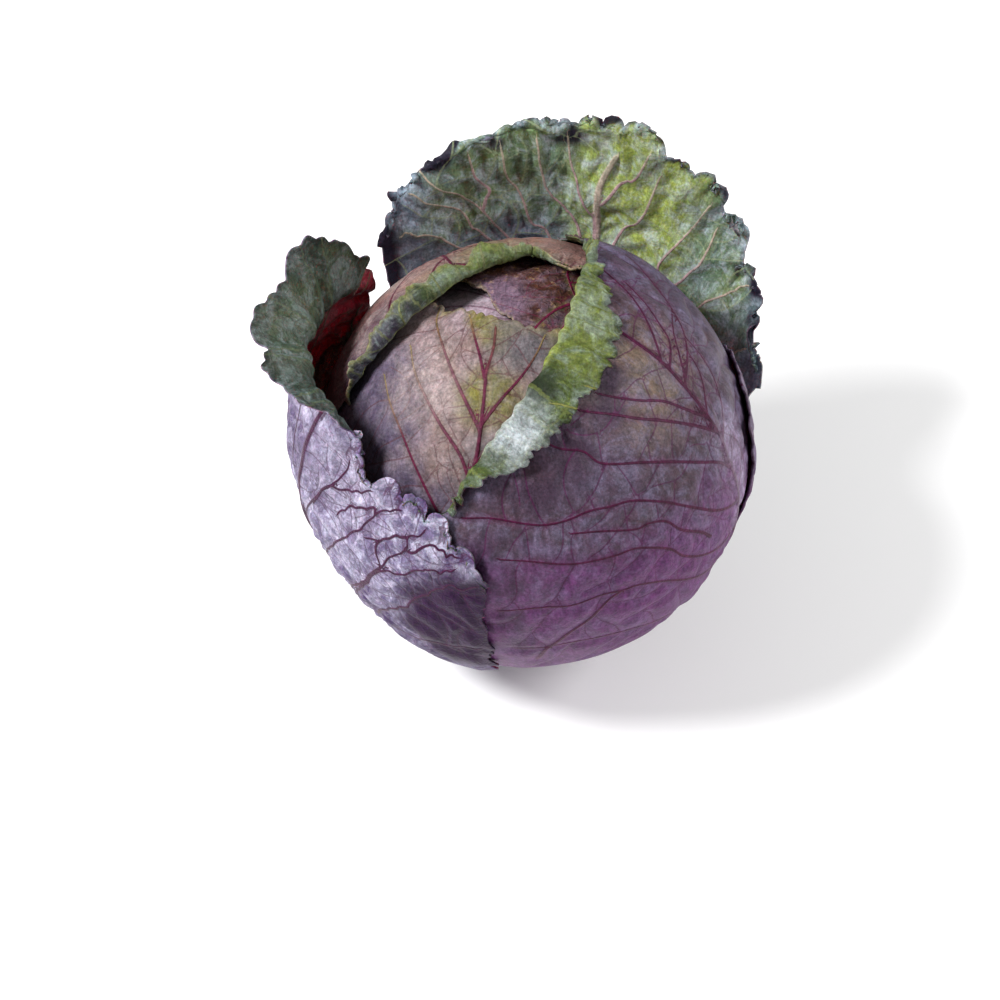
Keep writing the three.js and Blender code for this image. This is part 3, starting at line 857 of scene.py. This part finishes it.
def draw_front_veins(surface, net, random):
    rib = drawn_vein(surface, FRONT_RIB, FRONT_RADIUS)
    net.add(rib, (3.6, 1.0), 1.0, ends_at=0.7)
    made = [rib]
    for angles in FRONT_SIDE_VEINS:
        made.append(net.add(drawn_vein(surface, angles, FRONT_RADIUS), (1.5, 0.6), 0.95))
    fill_with_small_veins(surface, net, made, 11, random, 0.55)


def front_masks(points, u, t):
    latitude = latitude_of(points)
    beside_rib = np.maximum(around(points, -24, 61, 15), np.clip((latitude - 70) / 8, 0, 0.6))
    purple = np.maximum(np.clip((46 - latitude) / 20, 0, 1), around(points, -68, 38, 26) * 1.5)
    # The pale patch towards the left of this leaf is a painted highlight.
    return {
        "tone": purple,
        "flush_and_shade": beside_rib * 1.25,
        "dark_tint_and_shade": np.maximum(around(points, -8, 78, 18), around(points, -12, 40, 24)),
        "highlight_and_bloom": around(points, -61, 54, 15) * 0.7,
    }


make_leaf(
    front_leaf,
    draw_front_veins,
    leaf_skin("pink_leaf_skin", front_colours, front_colours, bloom=0.3, speckled=0.55),
    "front_leaf",
    "front_leaf",
    front_masks,
)

# The back leaf with the rolled margin
# It grows from the stem behind the head and wraps its back and left. It stops short of the crown, where its
# margin is turned outwards in a fat roll that shows the leaf's green upper side.
BACK_RADIUS = layer_radius(1)
back_leaf = dict(
    name="back_rolled_leaf_blade",
    seed=31,
    radius=BACK_RADIUS,
    foot=(0, -194, -110),
    waist=(-226, -86),
    margin=[
        (-229, 56, -0.5),
        (-216, 66, 0, 2, 4),
        (-199, 67, 0.8, 4, 60),
        (-179, 66, 1.2, 6, 125),
        (-157, 68, 1.5, 9, 165),
        (-136, 67, 2, 11, 170),
        (-112, 64, 3, 11, 170),
        (-97, 57, 3, 10, 165),
        (-88, 49, 2.6, 9, 150),
        (-83.5, 41, 2.5, 6, 90),
        (-81, 30, 1, 3, 8),
    ],
    flare_power=5,
    bend=2.6,
    ruffle=2.2,
    ruffle_size=9,
    frill=((11, 2.2), (4.3, 1.1)),
    puff=0.8,
    cells=(270, 130, 30),
)
back_outer_colours = dict(
    base="#806560", patch="#8E5E54", tone="#6C6648", flush_and_shade="#4A3848", margin="#A08A72",
    net="#523A3C", halo="#603A3E", speckle="#402E2C", bloom="#8C807C", vein="#4A1228",
)
back_inner_colours = dict(
    base="#3A4628", patch="#2E3832", tone="#566234", flush_and_shade="#342E3A", margin="#6E6E44",
    net="#242C20", halo="#4A5430", speckle="#1C231C", bloom="#8A9594", vein="#5E6242",
    crease="#97A04E",
)


def back_masks(points, u, t):
    # Painted shade: the flush on this leaf darkens its left side as shade.
    shaded_side = np.maximum(around(points, -95, 10, 50), around(points, -92, 46, 24) * 1.4)
    return {"tone": around(points, -150, 66, 30), "flush_and_shade": shaded_side}


make_leaf(
    back_leaf,
    rib_and_sides(3.6, 110, 17, 50, 1.0, small=12, shows=0.5, over_roll=9),
    leaf_skin("rolled_leaf_skin", back_outer_colours, back_inner_colours, 0.5, net_shows=0.3, speckled=0.5),
    "back_rolled_leaf",
    "back_leaf",
    back_masks,
)

# The right leaf with the rolled margin
# The largest wrapped leaf, dusky purple under its wax. It comes round from the right, and its left margin
# lies rolled back over it in a long green band, from the front up and over to a free tip behind the crown.
RIGHT_RADIUS = layer_radius(0)
right_leaf = dict(
    name="right_rolled_leaf_blade",
    seed=47,
    radius=RIGHT_RADIUS,
    foot=(0, 20, 118),
    waist=(-44, 172),
    margin=[
        (-25, 30, 0, 3, 10),
        (-21, 38, 0, 8, 110),
        (-17, 45.7, 0, 14, 165),
        (-12.8, 50.8, 0, 18, 176),
        (-6, 58.8, 0, 20.5, 180),
        (4.7, 66.5, 0, 22, 184),
        (27, 74.7, 0, 24, 184),
        (78, 78.9, 0, 22, 184),
        (119.5, 74.8, 0.5, 14, 180),
        (141, 65, 1.5, 7, 150),
        (152, 58, 3, 3, 40),
        (164, 44, 1),
        (171, 25),
    ],
    flare_power=8,
    bend=1.7,
    ruffle=2.6,
    ruffle_size=6.5,
    frill=((9, 2.4), (3.6, 1.3)),
    puff=1.4,
    cells=(330, 170, 40),
)
RIGHT_RIB = [
    (70, -68), (70, -40), (70, -15), (70, 5), (69, 19), (70, 25), (70, 33), (71, 41), (72, 47), (73, 52),
    (74, 61), (77, 68),
]
RIGHT_SIDE_VEINS = [
    [(70, 33), (65, 40), (59, 47), (50, 52), (39, 57.5), (28, 62)],
    [(70, 28), (63, 36), (53, 44), (45, 48.5), (36, 53), (26.5, 56), (14, 59), (2, 60)],
    [
        (69, 16), (65, 21.5), (57, 28), (50.5, 32.5), (42, 37), (37, 39), (24, 43), (19, 47), (10, 49),
        (-1, 53),
    ],
    [
        (69, 3), (58, 11), (48, 20), (39, 27), (30, 31), (24, 31.5), (17, 32), (9, 30.5), (2, 30), (-12, 31),
        (-20, 29.5),
    ],
    [(53, 6), (50, 10), (43, 16), (39, 21), (34, 23), (30, 23), (19, 26), (11, 27)],
    [(69, -8), (57, -3), (43, 7), (39, 12), (34, 15.5), (28, 18), (22.5, 18), (11, 18.5), (-1, 20), (-9, 20)],
    [(69, -18), (57, -12), (45, -4), (35, 3), (28, 6), (24, 6), (18, 6.5), (10, 5), (3, 5), (-8, 3)],
    [(69, -34), (54, -27), (40, -20), (26, -14), (12, -13), (-4, -15)],
    [(73, 50), (86.5, 51.8), (94.4, 55.1), (104.4, 57.7), (119.1, 60.9)],
    [(72, 44), (95, 46), (112.4, 48.1), (127.3, 49.3), (140.6, 47.9)],
]
FOLD_RIDGE = [(2, -22), (4, -15), (5.5, -13), (10, -7), (15, -2), (20, 4), (24, 6)]
right_outer_colours = dict(
    base="#48363F", patch="#504458", tone="#5C2C5E", flush_and_shade="#6E5E4E", margin="#4A4438",
    net="#32242F", halo="#541C44", speckle="#261C28", bloom="#736D88", vein="#400A2C",
    fine="#46103A", dark_tint_and_shade="#3A2B3A", highlight_and_bloom="#BCB4CC",
)
right_inner_colours = dict(
    base="#28351A", patch="#465226", tone="#243020", flush_and_shade="#5E6830", margin="#262A1A",
    net="#1E2814", halo="#444E26", speckle="#7E873A", bloom="#86928F", vein="#6E703C",
    fine="#5A6232", highlight_and_bloom="#B2B8BE", crease="#97A042", dark_tint_and_shade="#222A1A",
)


def draw_right_veins(surface, net, random):
    rib = drawn_vein(surface, RIGHT_RIB, RIGHT_RADIUS)
    net.add(rib, (4.4, 1.4), 1.0)
    made = [rib]
    for angles in RIGHT_SIDE_VEINS:
        made.append(net.add(drawn_vein(surface, angles, RIGHT_RADIUS), (1.4, 0.7), 0.95))
    net.add(drawn_vein(surface, FOLD_RIDGE, RIGHT_RADIUS), (2.2, 1.0), 0.9)
    for place in np.arange(60, len(rib) - 20, 17):
        made.append(branch(surface, net, rib, place, -1, 52, 90, 1.0, 0.7, random, (1.4, 0.6), 0.95))
    fill_with_small_veins(surface, net, made, 15, random, 0.6)
    cross_the_roll(surface, net, 6.5, 0.6, random)


def right_masks(points, u, t):
    latitude = latitude_of(points)
    azimuth = np.degrees(np.arctan2(points[..., 0], -points[..., 1]))
    low = np.clip((34 - latitude) / 34, 0, 1) * np.clip((100 - np.abs(azimuth - 20)) / 50, 0, 1)
    # Painted highlight: along the rib the pale is the rib's own whitish colour with a highlight painted over
    # it. At the roll's tip the pale is white wax bloom.
    along_rib = [around(points, 75, latitude_there, 11) for latitude_there in (22, 14, 6, -2)]
    # Painted shade: the leaf is darkened beside the roll and beside the left outer leaf, where they shade it.
    # On the roll near its tip the dark is the leaf's own colour.
    beside_roll = ((45, 61, 11), (34, 54, 11), (14, 47, 14), (0, 38, 15))
    beside_left_leaf = ((-8, 24, 14), (-4, 12, 12), (-4, 0, 11), (-4, -12, 10))
    shaded = [around(points, *place) * 0.9 for place in beside_roll]
    shaded += [around(points, *place) * 0.6 for place in beside_left_leaf]
    tip = around(points, -8, 53, 12) * 1.1
    return {
        "tone": low,
        "flush_and_shade": np.where(t >= 1, around(points, 70, 76, 26), around(points, 62, 57, 34)),
        "dark_tint_and_shade": np.where(t >= 1, around(points, 3, 66, 9), np.max(shaded, axis=0)),
        "highlight_and_bloom": np.clip(np.maximum(np.max(along_rib, axis=0) * 0.5, tip * (t >= 1)), 0, 0.8),
    }


make_leaf(
    right_leaf,
    draw_right_veins,
    leaf_skin("dusky_leaf_skin", right_outer_colours, right_inner_colours, bloom=0.45, speckled=0.5),
    "right_rolled_leaf",
    "right_leaf",
    right_masks,
)

# The left outer leaf
# It grows from the stem and stands off the head like a wall, with its top bent outwards in a dark green flap.
# Outside it is lilac-grey, puffed up between violet veins, and light coming through it is blood-red.
LEFT_RADIUS = HEAD_RADIUS + 3
left_leaf = dict(
    name="left_outer_leaf_blade",
    seed=59,
    radius=LEFT_RADIUS,
    foot=(-1, -118, -48),
    waist=(-142, -9),
    stand_off=1,
    margin=[
        (-130, 22, 2, 3, 20),
        (-120, 31, 6.5, 14, 30),
        (-110, 33.5, 10, 27, 36),
        (-98, 35, 13.5, 28, 58),
        (-86, 35, 15, 26, 82),
        (-73, 35, 14, 22, 90),
        (-64, 34, 10, 13, 76),
        (-57, 31, 4, 4, 30),
        (-48, 28, 1.4),
        (-38, 28.5, 0.6),
        (-28, 26.5, 0.6),
        (-18.5, 20.5, 0.6),
        (-11.5, 13, 0.6),
    ],
    flare_power=3,
    bend=7,
    ruffle=3.0,
    ruffle_size=15,
    frill=((16, 3.4), (5.5, 1.7)),
    side=0.05,
    wave=(1.3, 18),
    puff=1.7,
    cells=(310, 130, 44),
)
LEFT_VEINS = [
    [(0.5, 0.55), (0.52, 0.7), (0.55, 0.783), (0.579, 0.858), (0.604, 0.908), (0.618, 0.958), (0.618, 0.983)],
    [(0.56, 0.8), (0.589, 0.883), (0.618, 0.908), (0.65, 0.942), (0.668, 0.967), (0.689, 0.992)],
    [(0.52, 0.45), (0.6, 0.68), (0.664, 0.825), (0.696, 0.883), (0.714, 0.925), (0.729, 0.95), (0.764, 0.99)],
    [(0.718, 0.933), (0.711, 0.95), (0.693, 0.942), (0.664, 0.917), (0.643, 0.875), (0.629, 0.842)],
    [
        (0.56, 0.35), (0.67, 0.62), (0.757, 0.817), (0.786, 0.867), (0.807, 0.908), (0.8, 0.933),
        (0.825, 0.983),
    ],
    [(0.8, 0.933), (0.771, 0.917), (0.743, 0.883), (0.718, 0.867)],
    [(0.807, 0.908), (0.839, 0.942), (0.868, 0.967), (0.907, 0.99)],
    [(0.743, 0.883), (0.746, 0.85), (0.754, 0.825)],
    [
        (0.66, 0.55), (0.72, 0.72), (0.761, 0.808), (0.796, 0.825), (0.836, 0.867), (0.875, 0.917),
        (0.911, 0.958),
    ],
    [(0.72, 0.55), (0.8, 0.7), (0.85, 0.8), (0.879, 0.85), (0.914, 0.908), (0.936, 0.917), (0.97, 0.97)],
    [(0.5, 0.5), (0.44, 0.66), (0.38, 0.8), (0.33, 0.99)],
    [(0.5, 0.35), (0.4, 0.52), (0.3, 0.7), (0.22, 0.86), (0.17, 0.99)],
    [(0.5, 0.24), (0.36, 0.4), (0.22, 0.58), (0.1, 0.78), (0.04, 0.92)],
    [(0.5, 0.66), (0.47, 0.8), (0.44, 0.99)],
    [(0.5, 0.25), (0.64, 0.4), (0.78, 0.52), (0.9, 0.62), (0.98, 0.7)],
]
left_outer_colours = dict(
    base="#736A86", patch="#5A4E72", tone="#3A2250", flush_and_shade="#8C8399", margin="#54406A",
    net="#483A5A", halo="#52375E", speckle="#3A2D46", bloom="#C2BED2", vein="#3A1232",
    dark_tint_and_shade="#2A1032",
)
# On the inner face the tone is painted light: the deep red of light shining through the leaf where it stands
# in shade.
left_inner_colours = dict(
    base="#323E34", patch="#44503A", tone="#8A0E2E", flush_and_shade="#272F30", margin="#181F1C",
    net="#222A26", halo="#3C4836", speckle="#19211D", bloom="#6E7A7A", vein="#4C5642",
)


def draw_left_veins(surface, net, random):
    rib = traced_vein(surface, [(0.5, 0.02), (0.5, 0.3), (0.505, 0.68), (0.51, 0.94), (0.51, 1.0)])
    net.add(rib, (4.5, 2.2), 1.0)
    made = [rib]
    for places in LEFT_VEINS:
        made.append(net.add(traced_vein(surface, places), (1.5, 0.8), 1.0))
    fill_with_small_veins(surface, net, made, 11, random, 0.55)
    cross_the_roll(surface, net, 11, 0.7, random)


def left_masks(points, u, t):
    latitude = latitude_of(points)
    wall = np.clip((36 - latitude) / 12, 0, 1) * around(points, -105, 22, 60) * 1.6
    low = np.clip((4 - latitude) / 30, 0, 1)
    foot = around(points, -12, -6, 30) * 2
    lilac = around(points, -62, 25, 30)
    return {"tone": np.maximum(wall * (latitude > 8), low), "flush_and_shade": lilac, "dark_tint_and_shade": foot}


make_leaf(
    left_leaf,
    draw_left_veins,
    leaf_skin(
        "lilac_leaf_skin", left_outer_colours, left_inner_colours, 0.65, net_shows=0.3, glow_through=0.3
    ),
    "left_outer_leaf",
    "left_leaf",
    left_masks,
)

# The low right leaf
# What is left of a purple leaf torn away by the right foot of the head: it still grows from the stem and
# stands close against the wrapped leaves.
low_leaf = dict(
    name="right_outer_leaf_blade",
    seed=61,
    radius=HEAD_RADIUS,
    foot=(1.8, 80, 112),
    waist=(76, 131),
    stand_off=0.8,
    margin=[
        (80, 4, 3.2),
        (88, 17, 3.6),
        (105, 21, 3.4),
        (121, 8, 3),
    ],
    flare_power=3,
    frill=((12, 3.0), (4, 1.4)),
    side=0.08,
    puff=0.9,
    cells=(130, 110, 0),
)
low_colours = dict(
    base="#54405C", patch="#4A3454", tone="#4E244A", flush_and_shade="#6C5C76", margin="#42303F",
    net="#42304A", halo="#4A3450", speckle="#382A40", bloom="#857A94", vein="#3F1A36",
)


def low_masks(points, u, t):
    return {"tone": around(points, 80, -30, 40), "flush_and_shade": around(points, 110, 10, 20)}


make_leaf(
    low_leaf,
    rib_and_sides(3.0, 60, 13, 46, 0.8),
    leaf_skin("torn_leaf_skin", low_colours, low_colours, bloom=0.4),
    "right_outer_leaf",
    "low_leaf",
    low_masks,
)

# The back outer leaf
# It grows from the stem, stands away from the head and fans open behind it: green inside with pink veins,
# and bluer towards its frilled margin, which is turned back on the left.
back_outer_leaf = dict(
    name="back_outer_leaf_blade",
    seed=73,
    radius=HEAD_RADIUS,
    foot=(2, 136, 190),
    waist=(112, 218),
    stand_off=4,
    margin=[
        (114, -5, 16),
        (121, 5, 20),
        (127, 13, 27),
        (133, 19, 33),
        (140, 27, 40),
        (148, 34, 42),
        (156, 38.2, 45),
        (164, 38.2, 44),
        (172, 38.4, 43, 2, 20),
        (181, 38.2, 41, 4, 110),
        (190, 38, 38, 7, 150),
        (198, 37.2, 35, 8, 150),
        (207, 33.2, 31, 6, 150),
        (212, 26, 26, 3, 80),
        (216.5, 18, 20),
    ],
    flare_power=8,
    bend=1.6,
    ruffle=1.8,
    ruffle_size=12,
    frill=((31, 2.2), (13, 2.4), (4.6, 1.3)),
    side=0.04,
    wave=(2.8, 22),
    puff=1.9,
    cells=(330, 170, 22),
)
FAN_RIB = [
    (0.5, 0.02), (0.5, 0.4), (0.51, 0.75), (0.519, 0.847), (0.526, 0.887), (0.529, 0.927), (0.513, 0.973),
]
FAN_VEINS = [
    [
        (0.5, 0.4), (0.6, 0.62), (0.67, 0.77), (0.703, 0.833), (0.748, 0.893), (0.784, 0.927), (0.832, 0.973),
        (0.85, 1),
    ],
    [(0.748, 0.893), (0.74, 0.91), (0.732, 0.927), (0.755, 0.953), (0.765, 0.99)],
    [(0.5, 0.5), (0.57, 0.7), (0.613, 0.827), (0.648, 0.853), (0.677, 0.913), (0.7, 0.94), (0.71, 0.99)],
    [(0.5, 0.62), (0.53, 0.76), (0.552, 0.84), (0.584, 0.88), (0.613, 0.9), (0.632, 0.927), (0.65, 0.99)],
    [(0.51, 0.76), (0.526, 0.86), (0.539, 0.88), (0.561, 0.907), (0.574, 0.933), (0.59, 0.96), (0.6, 0.99)],
    [(0.55, 0.45), (0.66, 0.7), (0.745, 0.84), (0.765, 0.86), (0.79, 0.9), (0.845, 0.947), (0.88, 0.99)],
    [(0.6, 0.42), (0.73, 0.72), (0.819, 0.853), (0.845, 0.88), (0.89, 0.92), (0.93, 0.96)],
    [(0.62, 0.3), (0.78, 0.6), (0.9, 0.78), (0.97, 0.86)],
    [(0.5, 0.66), (0.485, 0.78), (0.477, 0.827), (0.465, 0.867), (0.445, 0.887), (0.435, 0.92), (0.43, 0.98)],
    [(0.5, 0.5), (0.43, 0.7), (0.374, 0.813), (0.374, 0.853), (0.358, 0.893), (0.339, 0.94), (0.325, 0.985)],
    [(0.42, 0.66), (0.36, 0.76), (0.323, 0.84), (0.303, 0.887), (0.287, 0.933), (0.29, 0.98)],
    [(0.5, 0.36), (0.38, 0.62), (0.3, 0.76), (0.258, 0.84), (0.232, 0.887), (0.203, 0.94), (0.171, 0.99)],
    [(0.519, 0.9), (0.494, 0.933), (0.471, 0.947), (0.46, 0.99)],
    [(0.44, 0.32), (0.3, 0.56), (0.19, 0.74), (0.12, 0.88), (0.08, 0.98)],
    [(0.4, 0.2), (0.24, 0.44), (0.12, 0.64), (0.03, 0.8)],
]
fan_outer_colours = dict(
    base="#625A6E", patch="#585466", tone="#586650", flush_and_shade="#483A52", margin="#4C5448",
    net="#504A5A", halo="#584A60", speckle="#433E4E", bloom="#9A9CA8", vein="#54304C",
)
fan_inner_colours = dict(
    base="#5E7048", patch="#5A7264", tone="#606C7C", flush_and_shade="#8A9A4A", margin="#2A3238",
    net="#465640", halo="#7E8A60", speckle="#3A4844", bloom="#ACBAC6", vein="#A08488",
    vein_tip="#AAA48C", fine="#8A9674", dark_tint_and_shade="#211E2C",
)


def draw_fan_veins(surface, net, random):
    rib = traced_vein(surface, FAN_RIB)
    net.add(rib, (5.0, 1.8), 1.0)
    made = [rib]
    for places in FAN_VEINS:
        made.append(net.add(traced_vein(surface, places), (1.3, 0.6), 0.95))
    fill_with_small_veins(surface, net, made, 14, random, 0.5)


def fan_masks(points, u, t):
    nothing = np.zeros(points.shape[:2])
    left_end = np.clip((u[:, None] - 0.76) / 0.16, 0, 0.9) + nothing
    near_head = np.clip((0.9 - t[None, :]) / 0.08, 0, 0.8) * np.clip((u[:, None] - 0.5) / 0.12, 0, 1)
    right_end = np.clip((0.24 - u[:, None]) / 0.2, 0, 1) * 0.8 + nothing
    # Painted shade: low down, towards the stem, the leaf is darkened in the gap beside the head. The dark at
    # the left corner and in patches by the margin is the leaf's own colour.
    low = np.clip((0.82 - t[None, :]) / 0.12, 0, 1) + nothing
    middle = np.clip(1.3 - np.abs(u[:, None] - 0.46) / 0.14, 0, 1) + nothing
    corner = np.clip((u[:, None] - 0.9) / 0.07, 0, 1) + nothing
    near_margin = np.clip((t[None, :] - 0.965) / 0.02, 0, 1)
    frilled = near_margin * np.clip(buckles(points, 16, 5) * 1.6, 0, 0.8)
    blue = np.maximum(np.maximum(left_end, right_end), near_head)
    return {"tone": blue, "flush_and_shade": middle, "dark_tint_and_shade": np.maximum(np.maximum(corner, low), frilled)}


make_leaf(
    back_outer_leaf,
    draw_fan_veins,
    leaf_skin("green_leaf_skin", fan_outer_colours, fan_inner_colours, 0.6, glow_through=0.25),
    "back_outer_leaf",
    "back_outer_leaf",
    fan_masks,
)

# The floor, the light and the camera
# White paper, a soft lamp like a window from the left, half-way up the sky, a white screen that throws some
# of it back from the right, and pale light from all round. The camera looks down at the head from in front.
FLOOR_SIZE = 6.0
floor_mesh = bpy.data.meshes.new("floor")
corners = [(-FLOOR_SIZE, -FLOOR_SIZE, 0), (FLOOR_SIZE, -FLOOR_SIZE, 0), (FLOOR_SIZE, FLOOR_SIZE, 0)]
floor_mesh.from_pydata(corners + [(-FLOOR_SIZE, FLOOR_SIZE, 0)], [], [(0, 1, 2, 3)])
white_paper, _, floor_shader = new_material("white_paper")
floor_shader.inputs["Base Color"].default_value = colour("#F4F4F4")
floor_shader.inputs["Roughness"].default_value = 0.9
floor_shader.inputs["Emission Color"].default_value = colour("#FFFFFF")
floor_shader.inputs["Emission Strength"].default_value = 0.08
floor_mesh.materials.append(white_paper)
floor = bpy.data.objects.new("floor", floor_mesh)
bpy.context.scene.collection.objects.link(floor)

world = bpy.data.worlds.new("pale_room")
world.use_nodes = True
world.node_tree.nodes["Background"].inputs["Color"].default_value = colour("#FFFFFF")
world.node_tree.nodes["Background"].inputs["Strength"].default_value = 0.3
bpy.context.scene.world = world

WINDOW_HEIGHT = np.radians(50)
WINDOW_AWAY = 1.6


def add_lamp(name, place, size, energy):
    """A round soft lamp that faces the head."""
    lamp = bpy.data.lights.new(name, "AREA")
    lamp.shape = "DISK"
    lamp.size = size
    lamp.energy = energy
    lamp_object = bpy.data.objects.new(name, lamp)
    lamp_object.location = place
    to_head = Vector(CENTRE * MM) - lamp_object.location
    lamp_object.rotation_euler = to_head.to_track_quat("-Z", "Y").to_euler()
    bpy.context.scene.collection.objects.link(lamp_object)


window = Vector((-np.cos(WINDOW_HEIGHT), -0.12, np.sin(WINDOW_HEIGHT))) * WINDOW_AWAY
add_lamp("window", window, size=0.5, energy=37)
add_lamp("white_screen", Vector((1.25, 0.0, 0.95)), size=0.8, energy=18)

camera = bpy.data.cameras.new("camera")
camera.lens = 100
camera.sensor_width = 36
camera.clip_start = 0.01
camera_object = bpy.data.objects.new("camera", camera)
camera_object.location = (-0.011336, -0.689170, 0.877928)
looks_at = Vector((-0.011336, -0.014473, 0.073855))
camera_object.rotation_euler = (looks_at - camera_object.location).to_track_quat("-Z", "Y").to_euler()
bpy.context.scene.collection.objects.link(camera_object)
bpy.context.scene.camera = camera_object
bpy.context.scene.view_settings.view_transform = "Standard"
